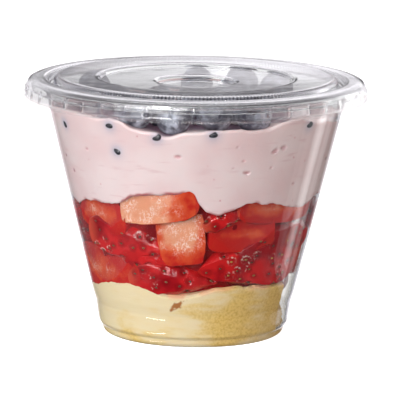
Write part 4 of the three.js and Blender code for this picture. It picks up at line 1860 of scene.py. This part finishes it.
def side_strips() -> tuple[SoftBox, ...]:
    """Lamps on the right, each wider than the last, so that together they fade out to their sides.

    Returns:
        The lamps.
    """
    sizes = (
        (0.008, 0.16, 0.011),
        (0.018, 0.16, 0.021),
        (0.030, 0.17, 0.025),
        (0.048, 0.18, 0.014),
        (0.070, 0.18, 0.029),
        (0.095, 0.18, 0.025),
    )
    return tuple(
        SoftBox(f"side_strip_{number}", (0.12, 0.035, 0.05), *size, Lights.REFLECTIONS)
        for number, size in enumerate(sizes, 1)
    )


@dataclass
class Studio:
    """Camera, lamps, bright surroundings and a plain white floor."""

    sideways: float = 1.618
    distance: float = 981.4
    camera_height: float = 218.7
    pitch: float = 10.352
    roll: float = 0.819
    field_of_view: float = 6.879
    floor_side: float = 8.0
    floor_glow: float = 0.9
    target: Vector = field(default_factory=lambda: Vector((0.0, 0.0, 0.04)))
    boxes: tuple[SoftBox, ...] = (
        SoftBox("key_box", (-0.47, -0.78, 0.34), 0.85, 0.60, 8.0, Lights.SURFACES),
        SoftBox("glint_box", (-0.34, -0.80, 0.44), 0.16, 0.16, 5.0, Lights.REFLECTIONS),
        SoftBox("top_box", (-0.15, 0.15, 1.1), 0.7, 0.7, 1.5),
        *side_strips(),
        SoftBox("band_glint", (-1.95, -1.76, -1.505), 1.2, 0.06, 3.2, Lights.REFLECTIONS),
    )

    def camera(self) -> None:
        """Places the camera: it looks along +Y, pitched down and rolled."""
        lens = bpy.data.cameras.new("camera")
        lens.sensor_fit = "HORIZONTAL"
        lens.angle = math.radians(self.field_of_view)
        lens.clip_start = 0.05
        holder = bpy.data.objects.new("camera", lens)
        pitch, roll = math.radians(90.0 - self.pitch), math.radians(self.roll)
        turned = Matrix.Rotation(pitch, 4, "X") @ Matrix.Rotation(roll, 4, "Z")
        spot = Vector((self.sideways, -self.distance, self.camera_height)) * MM
        holder.matrix_world = Matrix.Translation(spot) @ turned
        bpy.context.scene.collection.objects.link(holder)
        bpy.context.scene.camera = holder

    def floor(self) -> None:
        """Lays a plain white floor that glows softly, as a lit table does."""
        half = 0.5 * self.floor_side / MM
        corners = half * np.array([[-1, -1, 0], [1, -1, 0], [1, 1, 0], [-1, 1, 0]])
        piece = new_piece("floor", corners, [np.array([[0, 1, 2, 3]])])
        surface = Surface("white_floor")
        surface.constants({
            "Base Color": (*GREY, 1.0),
            "Roughness": 0.9,
            "Emission Color": (*WHITE, 1.0),
            "Emission Strength": self.floor_glow,
        })
        piece.data.materials.append(surface.material)
        piece.visible_glossy = False
        piece.visible_diffuse = False
        piece.visible_transmission = False

    def build(self) -> None:
        """Sets up the whole studio."""
        self.camera()
        self.floor()
        Room().build()
        for box in self.boxes:
            box.build(self.target)
        bpy.context.scene.view_settings.view_transform = "Standard"


def let_light_through(piece: bpy.types.Object) -> None:
    """Lets lamps and bounced light reach what a clear piece holds, without passing its curved sheet."""
    piece.visible_shadow = False
    piece.visible_diffuse = False


def main() -> None:
    """Builds the studio and then each piece in order."""
    logging.basicConfig(level=logging.INFO, format="%(message)s")
    Studio().build()

    cup = Cup()
    shell = cup.build()
    settle(shell, Slot.CUP, ClearPlastic("clear_cup_plastic", wave_depth=0.015).make(), "cup")
    let_light_through(shell)

    lid = Lid().build()
    settle(lid, Slot.LID, ClearPlastic("clear_lid_plastic", thins=True).make(), "lid")
    let_light_through(lid)

    settle(Sponge(cup).build(), Slot.SPONGE, Crumb().make(), "sponge_cake")

    halves, slices, core, seeds = Heap(cup).build()
    fruit = WetFruit().make()
    settle(halves, Slot.STRAWBERRY, fruit, "strawberry_layer")
    settle(slices, Slot.STRAWBERRY, fruit)
    settle(core, Slot.STRAWBERRY, fruit)
    settle(seeds, Slot.STRAWBERRY, PALE_SEED.make())

    cream, dark_seeds = CreamLayer(cup).build()
    settle(cream, Slot.CREAM, Cream().make(), "pink_cream")
    settle(dark_seeds, Slot.CREAM, DARK_SEED.make())

    topping = Topping()
    bloom = Bloom().make()
    draw = np.random.default_rng(topping.seed)
    for node in topping.nodes():
        settle(topping.berry(node, draw), Slot.BLUEBERRY, bloom, node)


if __name__ == "__main__":
    main()
